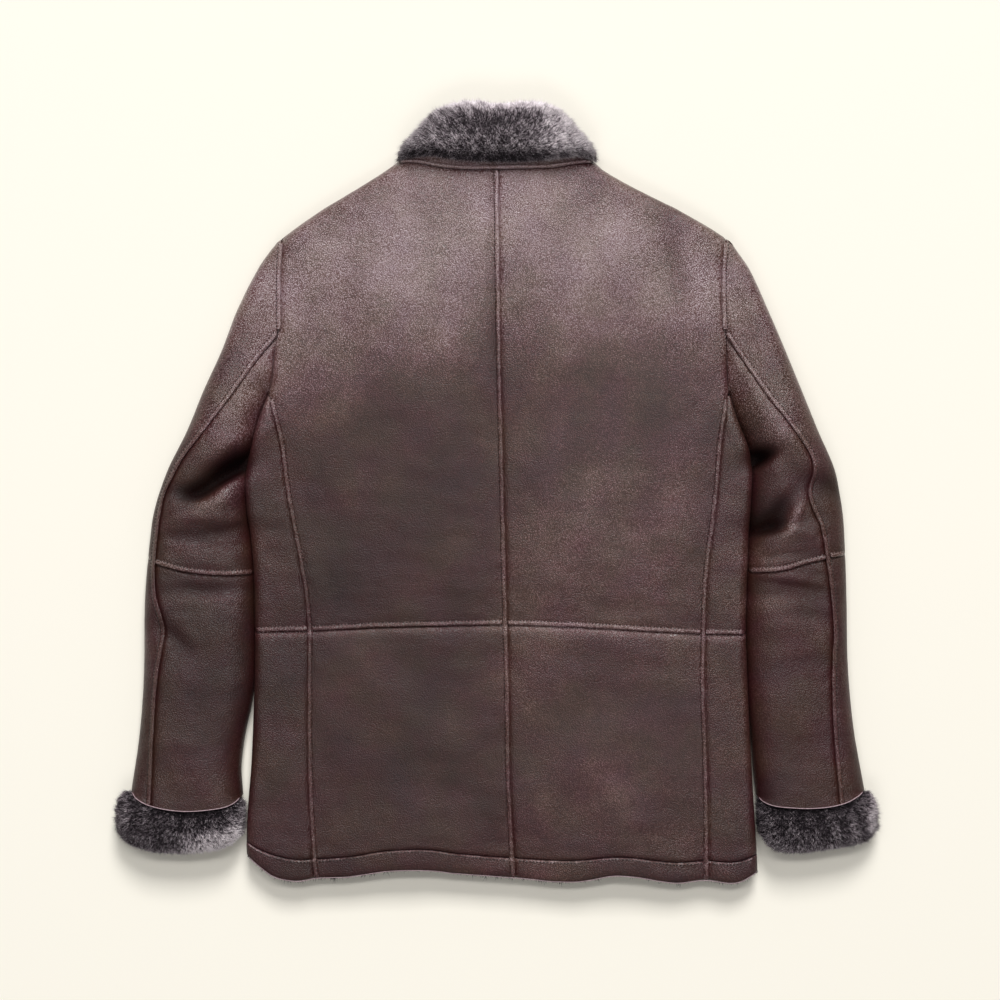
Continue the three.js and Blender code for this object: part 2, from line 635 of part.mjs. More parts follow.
  // Side panels wrap the edge from the seam above to the seam below it
  const sideShares = nearStart(count.sidePanel);
  const wrap = [...over(count.sidePanel, 0), ...below(1, count.sidePanel)];
  const addSide = (name, fromY, toY, seamRows, topRow, bottomRow) => {
    const rows = seamRows.length - 1;
    const edgeRows = sampled(downCurve(edgeX, fromY, toY), steps(rows));
    const plan = coons(edgeRows, seamRows, topRow, bottomRow, sideShares, steps(rows));
    return addTubeWall(name, skin, { ...body, plan, inset: insetPlan(plan, false), path: wrap });
  };
  const junctionRow = lowered(
    sampled((t) => mixPoint(armholeLower[count.armholeLower], sideUpper[0], t), sideShares), junctionGap);
  const sideWaistRow = sampled(acrossCurve(waistY, edgeX(waistEdgeY), seamX(waistSeamY)), sideShares);
  const sideHemTopRow = sampled(acrossCurve(hemTopY, edgeX(hemTopEdgeY), seamX(hemTopSeamY)), sideShares);
  const sideHemRow = sampled(acrossCurve(hemBottomY, edgeX(hemEdgeY), seamX(hemSeamY)), sideShares);
  const sideUpperRows = [junctionRow[count.sidePanel], ...sideUpper.slice(1)];
  const upperSide = addSide(`side_upper_${side}`,
    junctionY - junctionGap, waistEdgeY, sideUpperRows, junctionRow, sideWaistRow);
  const lowerSide = addSide(`side_lower_${side}`, waistEdgeY, hemTopEdgeY, sideLower, sideWaistRow, sideHemTopRow);
  const hemSide = addSide(`hem_side_${side}`, hemTopEdgeY, hemEdgeY, sideHem, sideHemTopRow, sideHemRow);

  // Sleeve heights
  const sleeveCrown = (x, y) => mix(bodyHeight, sleeveHeight, smooth(distanceTo(armholeLine, x, y) / puffReach));
  const sleeveTop = (x, y) => {
    const crown = sleeveCrown(x, y);
    const reach = mix(shoulderEdge.over, sleeveOuterEdge.over, smooth((shoulderPointY - y) / 150));
    const creaseShare = Math.sin(Math.PI * clamp((sleeveSeamTopY - y) / armpitReach));
    const outerDrop = (crown - sleeveOuterEdge.level) * (1 - rounding(distanceTo(outlineLine, x, y), reach));
    const innerDrop = (crown - sleeveInnerEdge.level)
      * (1 - rounding(distanceTo(innerLine, x, y), sleeveInnerEdge.over));
    const creaseDrop = 8 * creaseShare * (1 - rounding(distanceTo(armholeLine, x, y), 18));
    return Math.max(crown + foldHeight(x, y) - outerDrop - innerDrop - creaseDrop, sleeveInnerEdge.level);
  };
  const sleeveBottom = (x, y) =>
    sleeveOuterEdge.level * (1 - rounding(distanceTo(outlineLine, x, y), sleeveOuterEdge.under))
    + sleeveInnerEdge.level * (1 - rounding(distanceTo(innerLine, x, y), sleeveInnerEdge.under));
  const sleeveSlotHalf = (x, y) => (slot / 2) * smooth(Math.min(
    distanceTo(outlineLine, x, y), distanceTo(innerLine, x, y)) / (2 * wall)) + seamGap / 2;
  // Where a deep fold presses the sleeve flat, the slot between its walls goes down with it
  const sleeveSlotLevel = (x, y) => Math.min(midLevel, sleeveTop(x, y) - pressedWall);
  const sleeve = {
    top: sleeveTop,
    bottom: sleeveBottom,
    slotTop: (x, y) => sleeveSlotLevel(x, y) + sleeveSlotHalf(x, y),
    slotBottom: (x, y) => sleeveSlotLevel(x, y) - sleeveSlotHalf(x, y),
  };

  // Sleeve plan: the back seam is sample number seamAt of every row
  const seamAt = count.armholeUpper;
  const samples = seamAt + count.armholeLower;
  const armholeRow = [...armholeUpper, ...armholeLower.slice(1)];
  const armholeShares = shares(armholeRow);
  const elbowOuter = [outlineX(elbowOuterY[side]), elbowOuterY[side]];
  const elbowInner = [innerX(elbowInnerY[side]), elbowInnerY[side]];
  const cuffOuter = [outlineX(-313), -313];
  const cuffInner = [innerX(cuffInnerY), cuffInnerY];
  const elbowCurve = saggingCurve(elbowOuter, elbowInner, tableCurve(elbowSag, 's', side));
  const cuffCurve = saggingCurve(cuffOuter, cuffInner, tableCurve(cuffSag, 's', side));
  const sleevePlan = (rows, outerCurve, innerCurve, startCurve, endCurve) => steps(rows).map((v) => {
    const pointAt = (s) => {
      const sides = mixPoint(outerCurve(v), innerCurve(v), s);
      const ends = mixPoint(startCurve(s), endCurve(s), v);
      const corners = mixPoint(
        mixPoint(startCurve(0), startCurve(1), s), mixPoint(endCurve(0), endCurve(1), s), v);
      return [0, 1].map((c) => sides[c] + ends[c] - corners[c]);
    };
    let [low, high] = [0, 1];
    for (let round = 0; round < 30; round += 1) {
      const half = (low + high) / 2;
      const [x, y] = pointAt(half);
      if (outward * (x - sleeveSeamX(y)) > 0) low = half;
      else high = half;
    }
    const seamShare = v === 0 && startCurve === armholeCurve ? armholeShares[seamAt] : (low + high) / 2;
    const outerShares = armholeUpperShares.map((t) => t * seamShare);
    const innerShares = armholeLowerShares.slice(1).map((t) => mix(seamShare, 1, t));
    return [...outerShares, ...innerShares].map(pointAt);
  });
  function armholeCurve(s) {
    const i = Math.min(Math.max(armholeShares.findIndex((share) => share >= s) - 1, 0), samples - 1);
    return mixPoint(armholeRow[i], armholeRow[i + 1],
      (s - armholeShares[i]) / (armholeShares[i + 1] - armholeShares[i]));
  }
  const upperSleevePlan = sleevePlan(count.sleeveUpper,
    downCurve(outlineX, shoulderPointY, elbowOuterY[side]),
    downCurve(innerX, junctionY, elbowInnerY[side]), armholeCurve, elbowCurve);
  upperSleevePlan[0] = armholeRow;
  const lowerSleevePlan = sleevePlan(count.sleeveLower,
    downCurve(outlineX, elbowOuterY[side], -313),
    downCurve(innerX, elbowInnerY[side], cuffInnerY), elbowCurve, cuffCurve);
  lowerSleevePlan[0] = upperSleevePlan[count.sleeveUpper];
  const hiddenSeamAt = samples - 3;
  const outerPath = [...over(seamAt, 0), ...below(1, hiddenSeamAt)];
  const innerPath = [...over(seamAt, samples), ...below(samples - 1, hiddenSeamAt)];
  const addSleeve = (name, plan, path) => addTubeWall(name, skin, {
    ...sleeve, plan, inset: insetPlan(plan, true), path, innerTrim: sleeveTrim,
  });
  const upperOuter = addSleeve(`sleeve_upper_outer_${side}`, upperSleevePlan, outerPath);
  const upperInner = addSleeve(`sleeve_upper_inner_${side}`, upperSleevePlan, innerPath);
  const lowerOuter = addSleeve(`sleeve_lower_outer_${side}`, lowerSleevePlan, outerPath);
  const lowerInner = addSleeve(`sleeve_lower_inner_${side}`, lowerSleevePlan, innerPath);

  // Fur cuff: one band round the sleeve's end, joined on the underside
  const outerSide = splineCurve(cuffOuterSide[side]);
  const innerSide = splineCurve(cuffInnerSide[side]);
  const lowerEdge = splineCurve(cuffLowerEdge[side]);
  const cuffStart = lowerSleevePlan[count.sleeveLower];
  const cuffShares = shares(cuffStart);
  const cuffDown = nearEnd(count.cuff);
  const cuffPlan = loweredStart(coons(
    cuffDown.map((v, j) => (j === 0 ? cuffStart[0] : outerSide(v))),
    cuffDown.map((v, j) => (j === 0 ? cuffStart[samples] : innerSide(v))),
    cuffStart, sampled(lowerEdge, cuffShares), cuffShares, cuffDown), cuffGap);
  const [outerSideLine, innerSideLine, lowerLine] = [outerSide, innerSide, lowerEdge].map(lineOf);
  const cuffSlot = (x, y) => midLevel + cuffSlotRise * smooth(distanceTo(cuffStart, x, y) / 30);
  const cuffRound = { end: 14, lip: 3 };
  const cuffTop = (x, y) => {
    const crown = mix(sleeveHeight + 1, cuffHeight, smooth(distanceTo(cuffStart, x, y) / 14));
    const lip = cuffSlot(x, y) + slot / 2 + cuffRound.lip;
    const sides = (crown - cuffOuterEdge.level) * (1 - rounding(distanceTo(outerSideLine, x, y), cuffOuterEdge.over))
      + (crown - sleeveInnerEdge.level) * (1 - rounding(distanceTo(innerSideLine, x, y), 26));
    const raised = crown - sides;
    return mix(Math.min(lip, raised), raised, rounding(distanceTo(lowerLine, x, y), cuffRound.end));
  };
  const cuffBottom = (x, y) => {
    const lip = cuffSlot(x, y) - slot / 2 - cuffRound.lip;
    const sides = cuffOuterEdge.level * (1 - rounding(distanceTo(outerSideLine, x, y), cuffOuterEdge.under))
      + sleeveInnerEdge.level * (1 - rounding(distanceTo(innerSideLine, x, y), sleeveInnerEdge.under));
    return mix(Math.max(lip, sides), sides, rounding(distanceTo(lowerLine, x, y), cuffRound.end));
  };
  const cuffSlotHalf = (x, y) => (slot / 2) * smooth(Math.min(
    distanceTo(outerSideLine, x, y), distanceTo(innerSideLine, x, y)) / (2 * wall)) + seamGap / 2;
  addTubeWall(`cuff_fur_${side}`, fur, {
    plan: cuffPlan,
    inset: insetPlan(cuffPlan, true),
    path: [...below(hiddenSeamAt, 0), ...over(1, samples), ...below(samples - 1, hiddenSeamAt)],
    top: cuffTop,
    bottom: cuffBottom,
    slotTop: (x, y) => cuffSlot(x, y) + cuffSlotHalf(x, y),
    slotBottom: (x, y) => cuffSlot(x, y) - cuffSlotHalf(x, y),
  });

  // Strips over the seams
  const clear = welt.halfWidth + 1.2;
  const sideSeamRows = [...sideUpper, ...sideLower.slice(1), ...sideHem.slice(1)];
  const backSurfaces = [upperBack, lowerBack, hemBack];
  const sideSurfaces = [upperSide, lowerSide, hemSide];
  addStrip(`welt_side_${side}`, skin, sideSeamRows, [...backSurfaces, ...sideSurfaces], welt, 6, 0.5);
  addStrip(`welt_waist_back_${side}`, skin, waistRow, [upperBack, lowerBack], welt, clear, clear);
  addStrip(`welt_waist_side_${side}`, skin, sideWaistRow, [upperSide, lowerSide], welt, 5, clear);
  addStrip(`welt_armhole_${side}`, skin, armholeUpper, [upperBack, upperOuter, upperInner], welt, 9, 4);
  const sleeveSeamRows = [...upperSleevePlan, ...lowerSleevePlan.slice(1)].map((row) => row[seamAt]);
  const sleeveSurfaces = [upperOuter, upperInner, lowerOuter, lowerInner];
  addStrip(`welt_sleeve_${side}`, skin, sleeveSeamRows, sleeveSurfaces, welt, 6, 3.4);
  const elbowRow = lowerSleevePlan[0];
  addStrip(`welt_elbow_outer_${side}`, skin, elbowRow.slice(0, seamAt + 1), sleeveSurfaces, welt, 3.5, clear);
  addStrip(`welt_elbow_inner_${side}`, skin, elbowRow.slice(seamAt), sleeveSurfaces, welt, clear, 4);
  const cuffRow = cuffStart.map(([x, y]) => [x, y + 1.6]);
  addStrip(`cuff_edge_${side}`, rawEdge, cuffRow, [lowerOuter, lowerInner], cuffEdge, 6, 6);
  centreStrip.push([...centreUpper, ...centreLower.slice(1), ...centreHem.slice(1)]);
  centrePanels.push(...backSurfaces);
  neckSamples[side] = neckRow;
}

addStrip('welt_centre', skin, centreStrip[0], centrePanels, welt, 4.5, 0.5);

// Collar stand: a leather ring from the neck seam up inside the fold of the fur
const standSlot = (x, y) => mix(midLevel, collarHeight / 2, smooth((y - 341) / 24));
const standDepth = (y) => slot / 2 + mix(wall, standWall, smooth((y - 341) / 24));
const fallCurve = tableCurve(collarLowerEdge.map(([x, y]) => ({ x, y })), 'x', 'y');
const foldY = tableCurve(collarFold.map(([x, y]) => ({ x, y })), 'x', 'y');
const neckRow = [...neckSamples.left, ...[...neckSamples.right].reverse().slice(1)];
const neckShares = shares(neckRow);
const lastNeck = neckRow.length - 1;
const standRows = standSide.slice(1).map(({ left, right, y }) => neckShares.map((u) => {
  const x = mix(left, right, u);
  const sag = (fallCurve(x) - mix(fallCurve(left), fallCurve(right), u)) * clamp((standEndY - y) / 42);
  return [x, y + sag];
}));
const standPlan = [neckRow, ...standRows];
const standSides = [0, lastNeck].map((k) => standPlan.map((row) => row[k]));
const sideDistance = (lines, x, y) => Math.min(...lines.map((line) => distanceTo(line, x, y)));
const standReach = (x, y, reach) => standDepth(y) * rounding(sideDistance(standSides, x, y), reach);
const ringPath = [...below(lastNeck / 2, 0), ...over(1, lastNeck), ...below(lastNeck - 1, lastNeck / 2)];
const standSlotHalf = (x, y) => (slot / 2) * smooth(sideDistance(standSides, x, y) / (2 * wall)) + seamGap / 2;
const standOuter = addTubeWall('collar_stand', skin, {
  plan: standPlan,
  inset: insetPlan(standPlan, true, standWall),
  path: ringPath,
  top: (x, y) => standSlot(x, y) + standReach(x, y, shoulderEdge.over),
  bottom: (x, y) => standSlot(x, y) - standReach(x, y, shoulderEdge.under),
  slotTop: (x, y) => standSlot(x, y) + standSlotHalf(x, y),
  slotBottom: (x, y) => standSlot(x, y) - standSlotHalf(x, y),
  innerTrim: sleeveTrim,
});

// Fur fall: a ring over the stand that closes past the stand's end, its pile rounded there
const leftSide = splineCurve(collarLeftSide);
const rightSide = splineCurve(collarRightSide);
const fallShares = shares(standRows[0]);
const endsOf = (line) => [line[0][0], line[line.length - 1][0]];
const lowerFall = acrossCurve(fallCurve, ...endsOf(collarLowerEdge));
const upperFall = acrossCurve(foldY, ...endsOf(collarFold));
const fallPlan = coons(
  fallDown.map(leftSide), fallDown.map(rightSide),
  fallShares.map(lowerFall), fallShares.map(upperFall), fallShares, fallDown);
const fallSides = [leftSide, rightSide].map((curve) => steps(40).map(curve));
const foldLine = steps(40).map(upperFall);
const fallEdgeLine = steps(40).map(lowerFall);
const fallHeight = (x, y, up) => {
  const level = standSlot(x, y);
  const full = up > 0 ? standDepth(y) + fallWall : level;
  const side = full * rounding(sideDistance(fallSides, x, y), collarSideEdge.over);
  const edge = Math.min(side, standReach(x, y, shoulderEdge.over) + fallLip);
  const lifted = mix(edge, side, rounding(distanceTo(fallEdgeLine, x, y), fallEdgeReach));
  const lip = Math.min(lifted, fallLip);
  return level + up * mix(lip, lifted, rounding(distanceTo(foldLine, x, y), foldReach));
};
const fallOuter = fallPlan.map((row) => ringPath.map(({ k, under }) =>
  new THREE.Vector3(row[k][0], row[k][1], fallHeight(row[k][0], row[k][1], under ? -1 : 1))));
const raisedFromStand = standOuter.slice(1).map((row, j) => row.map((point, i) => {
  const [r, last] = [j + 1, row.length - 1];
  const alongRow = standOuter[r][Math.min(i + 1, last)].clone().sub(standOuter[r][Math.max(i - 1, 0)]);
  const alongColumn = standOuter[Math.min(r + 1, standOuter.length - 1)][i].clone().sub(standOuter[r - 1][i]);
  return point.clone().add(alongRow.cross(alongColumn).setLength(seamGap * 1.2));
}));
const endRow = insetPlan([standPlan[standPlan.length - 1]], true, standWall)[0];
const closingRow = (yAt) => ringPath.map(({ k, under }) => new THREE.Vector3(
  endRow[k][0], yAt(k), collarHeight / 2 + (under ? -1 : 1) * (seamGap / 2 + slot / 4)));
const fallInner = [
  ...raisedFromStand,
  closingRow(() => standEndY + seamGap * 1.5),
  closingRow((k) => fallPlan[fallPlan.length - 1][k][1] - 1),
];
addWall('collar_fall', fur, fallOuter, fallInner);

addStrip('welt_neck', skin, neckRow, [...centrePanels, standOuter], welt, 6, 6);

export default group;
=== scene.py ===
# A hip-length shearling coat lying face down on a pale floor, seen from straight above.
# Sizes are in millimetres until a mesh is made. +Y runs from the hem to the collar.
from functools import partial
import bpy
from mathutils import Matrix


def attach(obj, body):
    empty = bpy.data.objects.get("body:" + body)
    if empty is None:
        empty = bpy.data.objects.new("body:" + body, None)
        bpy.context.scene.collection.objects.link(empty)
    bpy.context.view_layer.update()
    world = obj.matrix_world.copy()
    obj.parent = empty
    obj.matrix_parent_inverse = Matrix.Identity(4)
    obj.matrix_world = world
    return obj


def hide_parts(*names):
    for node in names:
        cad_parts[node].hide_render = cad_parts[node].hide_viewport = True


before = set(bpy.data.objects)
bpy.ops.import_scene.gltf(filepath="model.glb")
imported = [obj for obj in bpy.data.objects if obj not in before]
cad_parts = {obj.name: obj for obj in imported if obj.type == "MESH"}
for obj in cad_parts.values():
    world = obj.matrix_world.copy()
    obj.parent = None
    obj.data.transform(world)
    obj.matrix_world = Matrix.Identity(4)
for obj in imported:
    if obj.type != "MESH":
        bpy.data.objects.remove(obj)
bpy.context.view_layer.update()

from types import SimpleNamespace

import bpy
import numpy as np
from mathutils import Vector

scene = bpy.context.scene
mm = 0.001

# Camera: straight above, its frame 1050 mm wide at the level of the coat's back
photoView = {"middle": (3.2, -8.4), "width": 1050, "level": 25, "lens": 90, "sensor": 36}


def addCamera(view):
    lens = bpy.data.cameras.new("photoCamera")
    lens.lens = view["lens"]
    lens.sensor_width = view["sensor"]
    camera = bpy.data.objects.new("photoCamera", lens)
    height = view["width"] * view["lens"] / view["sensor"] + view["level"]
    camera.location = Vector((*view["middle"], height)) * mm
    scene.collection.objects.link(camera)
    scene.camera = camera


addCamera(photoView)
print("camera set")

# What the whole coat is made to: one hide's wall, the slot between two hides, rounded edges
build = {"wall": 14, "slot": 2, "gap": 0.3, "sleeveHeight": 37, "cuffHeight": 46, "collarHeight": 56,
         "standWall": 12, "fallWall": 15, "puffReach": 70, "junction": 102, "armpit": 68,
         "elbowShare": 0.3, "sideStart": 60, "capLength": 150}
bodyHeight = 2 * build["wall"] + build["slot"]
midLevel = bodyHeight / 2
# level of the widest point, then how far the rounding above and below it reaches inwards
shoulderEdge = {"level": 15, "over": 16, "under": 14}
sideEdge = {"level": 21, "over": 11, "under": 22}
sleeveOuterEdge = {"level": 15, "over": 30, "under": 14}
sleeveInnerEdge = {"level": 9, "over": 34, "under": 10}
hemEdge = {"drop": 4, "reach": 12}
armpitCrease = {"depth": 8, "reach": 18}
shoulderPoint = 266.7
sleeveSeamTop = 170
sleeveEnd = (-313, -319)  # where the cuff starts, at the sleeve's outer and inner edge
seamRoom = 0.6

# Cut lines. Columns: y, left x, right x
outline = np.array([
    (348, -104, 102), (338, -118, 113), (317, -151, 151), (296, -186, 193), (266.7, -227, 242),
    (254, -239, 253), (233, -253, 267), (191, -274, 286), (149, -290, 304), (107, -309, 321),
    (65, -326, 338), (23, -347, 356), (-19, -361, 364), (-61, -367, 367), (-113, -371, 368.5),
    (-187, -372, 370), (-250, -376, 376), (-313, -385, 387)])
bodyEdge = np.array([
    (266.7, -227, 242), (241, -228.5, 239), (212, -229, 238), (170, -229, 239.5), (149, -233, 241),
    (120, -237, 242.5), (102, -241, 245), (79, -250, 252), (44, -259.5, 265.5), (23, -264, 268.5),
    (-15, -263.5, 267), (-45, -259.5, 265), (-82, -256, 263.5), (-140, -255, 262), (-197, -255, 263.5),
    (-281, -258, 267.5), (-334, -262, 270.5), (-372, -263.5, 273), (-415, -262, 275)])
sleeveStandoff = np.array([
    (102, 0, 0), (70, -0.5, -0.5), (-190, -0.5, -0.5), (-229, 4, -0.5), (-250, 8, 0.5),
    (-271, 10.5, 1.5), (-292, 11, 2), (-319, 7, 3.5)])
sideSeam = np.array([
    (102, -237.4, 241.4), (55, -226, 234), (6, -219.5, 230), (-36, -212, 225), (-74, -205, 220),
    (-106, -199.5, 217.5), (-143, -196.5, 216.5), (-197, -196.5, 215.5), (-302, -195.5, 218.5),
    (-388, -191, 219.5), (-415, -188, 219.5)])
sleeveSeam = np.array([
    (170, -229, 239.5), (139, -254, 260), (102, -280, 285), (67, -307, 312), (39, -329, 330),
    (20, -340, 333), (0, -350, 328), (-16, -354, 332), (-36, -357, 341), (-74, -361, 347.5),
    (-106, -360, 352), (-145, -350, 355), (-167, -353, 354), (-197, -358, 353), (-255, -362, 355),
    (-335, -365, 362)])
# Columns: y, x
centreSeam = np.array([
    (348, -1), (170, 1), (44, 4), (-137, 8.5), (-218, 10.5), (-302, 11.5), (-386, 16), (-415, 17.5)])
# Columns: x, y
neckSeam = np.array([
    (-104, 348), (-84, 347), (-58, 342.5), (-26, 340.5), (22, 341), (57, 342.5), (84, 346), (102, 348)])
waistSeam = np.array([
    (-270, -144.5), (-196, -143), (-125, -139.5), (-67, -138), (8.5, -137), (66, -138.5), (150, -143),
    (216, -146.5), (275, -147)])
# Columns: x, y of the hem's stitched top, y of its cut edge
hem = np.array([
    (-264, -367, -380), (-250, -375, -393), (-234, -381.5, -404), (-212, -386, -408.5),
    (-190, -385.5, -405.5), (-156, -383, -404), (-115, -376.5, -398), (-77, -375, -397),
    (-42, -379.5, -400.5), (17, -384.5, -405), (80, -387, -409.5), (129, -383, -402.5),
    (187, -389, -410.5), (219.5, -387.5, -407.5), (251, -388.5, -410.5), (276, -380, -398)])
# Columns: share of the way across the sleeve, sag of the left and of the right seam
elbowSag = np.array([(0, 0, 0), (0.15, 4.5, -0.5), (0.4, 7.5, 1), (0.7, 5.5, 4), (1, 0, 0)])
cuffSag = np.array([
    (0, 0, 0), (0.06, 8, 5), (0.2, 15, 12), (0.4, 18.5, 15.5), (0.65, 17, 14.5), (0.85, 12.5, 11),
    (0.95, 7, 6.5), (1, 0, 0)])
elbowOuter = {"left": -68, "right": -64}
elbowInner = {"left": -84, "right": -82}
cuffSides = {
    "left": {"outer": [(-385, -313), (-396, -314), (-402, -327), (-403, -343), (-400, -358), (-389, -369)],
             "lower": [(-389, -369), (-364, -376), (-333, -379), (-298, -376), (-276, -368), (-264, -357)],
             "inner": [(-269, -319), (-264, -327), (-263.5, -342), (-264, -357)]},
    "right": {"outer": [(387, -313), (396, -314), (401.5, -326), (403, -341), (401, -355), (389, -367)],
              "lower": [(389, -367), (360, -372.5), (322, -378), (296, -377), (282, -369), (273.5, -357)],
              "inner": [(273, -319), (272, -330), (272.5, -345), (273.5, -357)]}}
collarLower = np.array([(-105, 349), (-70, 352), (-40, 348.5), (0, 346.5), (50, 348), (88, 351.5),
                        (105, 348)])
collarFold = np.array([(-62, 404), (-40, 409.5), (-20, 411), (-4, 408), (20, 409.5), (44, 410), (63, 405)])
collarSides = {"left": [(-105, 349), (-103, 360), (-95, 371), (-85, 381), (-74, 394), (-62, 404)],
               "right": [(105, 348), (104, 359), (96, 371), (86, 382), (75, 395), (63, 405)]}
# Columns: y, left x, right x of the stand's sides
standSide = np.array([
    (348, -104, 102), (352.5, -99, 98), (358, -92, 92), (366, -84.5, 85), (375, -77, 77.5),
    (384, -69, 70), (393, -60, 61)])

# Folds. Columns: x, y, half length, half width above and below, turn in degrees, height
folds = np.array([
    (-292, 66, 46, 30, 18, 52, 4), (-271, 25, 17, 11, 5, 28, -18), (-295, 9, 15, 10, 4.5, 34, -11),
    (-315, -3, 12, 8, 4, 8, -9), (-300, -27, 34, 9, 9, 6, 3), (-300, -44, 34, 7, 9, 2, -4),
    (-305, -102, 30, 6, 10, 0, -4), (-340, -150, 18, 6, 7, -40, -4),
    (292, 74, 40, 26, 16, -52, 4), (274, 33, 14, 10, 4, 30, -19), (345, 6, 20, 8, 8, -25, -5),
    (303, -12, 16, 7, 8, 45, -5), (317, -20, 22, 9, 9, -60, 4), (286, -38, 25, 12, 4.5, 14, -12),
    (310, -99, 28, 4, 8, -8, -4),
    (-100, 200, 70, 60, 60, 90, 3), (105, 200, 70, 60, 60, 90, 3), (172, 235, 30, 12, 12, 84, -3),
    (-96, -392, 60, 24, 24, 90, 4), (130, -392, 60, 24, 24, 90, 4)])
# Small creases that only show close up, in the same columns
creases = np.array([
    (-270, 54, 26, 8, 7, 30, 4), (-334, 0, 12, 8, 5, -12, -2), (-284, -2, 22, 6, 9, 26, 4),
    (283, 50, 18, 8, 5, 8, 4), (309, -28, 15, 6, 5, 66, 5), (300, 66, 34, 10, 9, -52, 2.5),
    (-322, -17, 14, 3, 4, 24, -1.6), (-282, -8, 18, 4, 5, 10, 1.4), (-312, -33, 16, 3, 4, -4, -1.2),
    (-276, -36, 14, 3, 4, 16, -1.3), (-330, -56, 16, 4, 5, -8, 1.2), (-290, -58, 18, 3, 5, 6, -1.1),
    (-346, -88, 12, 3, 4, -12, -1), (-282, -112, 16, 4, 5, 6, 1), (-322, -122, 20, 4, 5, 8, -1.1),
    (-300, -150, 26, 6, 7, 3, 0.9), (-338, -190, 22, 6, 7, -6, 0.9), (-296, -215, 24, 6, 8, 8, -0.9),
    (-330, -262, 28, 8, 8, -4, 0.9), (-232, -20, 14, 2, 4, 12, -1), (-236, -36, 13, 2, 4, 6, -1),
    (-230, 4, 12, 3, 4, 18, -0.9), (-240, -62, 12, 3, 4, 4, -0.8), (-222, -92, 14, 4, 4, -6, -0.7),
    (300, -26, 18, 4, 5, 12, 1.2), (330, -46, 16, 4, 5, -20, 1.3), (296, -66, 24, 3, 5, 6, -1.2),
    (288, -74, 22, 4, 4, 6, 1.2), (330, -84, 16, 3, 4, -14, -1), (296, -108, 20, 3, 5, -6, -1.2),
    (322, -124, 22, 4, 6, -10, -1), (300, -140, 22, 5, 6, 4, 0.9), (332, -176, 24, 6, 7, 6, -0.9),
    (300, -216, 26, 7, 8, -5, 0.9), (330, -262, 28, 8, 8, 6, -0.8), (245, -2, 13, 3, 4, -10, -0.9),
    (247, -36, 12, 3, 4, -4, -0.8), (240, -84, 14, 4, 4, 4, -0.7), (158, 200, 26, 10, 10, 80, 2.2),
    (196, 215, 26, 9, 9, 96, 1.6), (140, 150, 34, 12, 12, 70, -1.2), (-150, 240, 40, 14, 14, 100, 1.2),
    (60, -300, 60, 20, 22, 30, 1.4), (-70, -250, 60, 22, 22, 150, 1.3), (120, -220, 50, 18, 20, 12, -1.2),
    (-130, -310, 50, 20, 20, 20, -1.2), (-60, -180, 40, 10, 12, 4, -1), (110, -176, 44, 10, 12, -6, -1),
    (60, 60, 70, 30, 30, 100, 1.3), (-90, 20, 80, 30, 34, 80, 1.2), (150, -20, 60, 24, 24, 84, -1.2)])


def smooth(t):
    t = np.clip(t, 0, 1)
    return t * t * (3 - 2 * t)


def mix(a, b, t):
    return a + (b - a) * t


def rounding(distance, reach):  # height of a quarter-round edge: 0 at the edge, 1 where it ends
    return np.sqrt(1 - (1 - np.clip(distance / reach, 0, 1)) ** 2)


def through(keys, values):  # smooth curve through a table, its slopes taken from the rows beside
    order = np.argsort(keys)
    keys, values = np.asarray(keys, float)[order], np.asarray(values, float)[order]
    row = np.arange(len(keys))
    before, after = np.maximum(row - 1, 0), np.minimum(row + 1, len(keys) - 1)
    slope = (values[after] - values[before]) / (keys[after] - keys[before])

    def at(key):
        key = np.asarray(key, float)
        i = np.clip(np.searchsorted(keys, key, side="right") - 1, 0, len(keys) - 2)
        span = keys[i + 1] - keys[i]
        t = np.clip((key - keys[i]) / span, 0, 1)
        rise = values[i + 1] - values[i]
        bend = (slope[i] * span - rise) * (1 - t) + (rise - slope[i + 1] * span) * t
        return values[i] + rise * t + t * (1 - t) * bend
    return at


def lengths(line):  # length run along a line at each of its points
    steps = np.linalg.norm(np.diff(line, axis=0), axis=1)
    return np.concatenate([[0], np.cumsum(steps)])


def placesAt(line, at):  # places at lengths run along a line
    run = lengths(line)
    return np.stack([np.interp(at, run, column) for column in line.T], -1)


def along(line, shares):  # places at shares of a line's length
    line = np.asarray(line, float)
    return placesAt(line, np.asarray(shares) * lengths(line)[-1])


def splineThrough(points):  # even-speed spline through points, as a fine line
    p = np.asarray(points, float)
    p = np.vstack([p[:1], p, p[-1:]])
    t = np.linspace(0, len(points) - 1, 40 * (len(points) - 1) + 1)
    i = np.minimum(t.astype(int), len(points) - 2)
    t = (t - i)[:, None]
    a, b, c, d = p[i], p[i + 1], p[i + 2], p[i + 3]
    return (b + (c - a) / 2 * t + (a - 2.5 * b + 2 * c - d / 2) * t ** 2
            + (1.5 * (b - c) + (d - a) / 2) * t ** 3)


def lineDistance(line, x, y):  # shortest distance in plan to a line, one step of it at a time
    best = np.full(np.shape(x), 1e6)
    for (ax, ay), (dx, dy) in zip(line[:-1, :2], np.diff(line[:, :2], axis=0)):
        t = np.clip(((x - ax) * dx + (y - ay) * dy) / (dx * dx + dy * dy + 1e-12), 0, 1)
        best = np.minimum(best, np.hypot(x - ax - t * dx, y - ay - t * dy))
    return best


def nearest(lines, x, y):  # distance in plan to the nearest of some lines
    return np.minimum.reduce([lineDistance(line, x, y) for line in lines])


def spread(count, dense=0.7):  # shares from 0 to 1, closer together at both ends
    t = np.linspace(0, 1, count)
    return t - dense * np.sin(2 * np.pi * t) / (2 * np.pi)


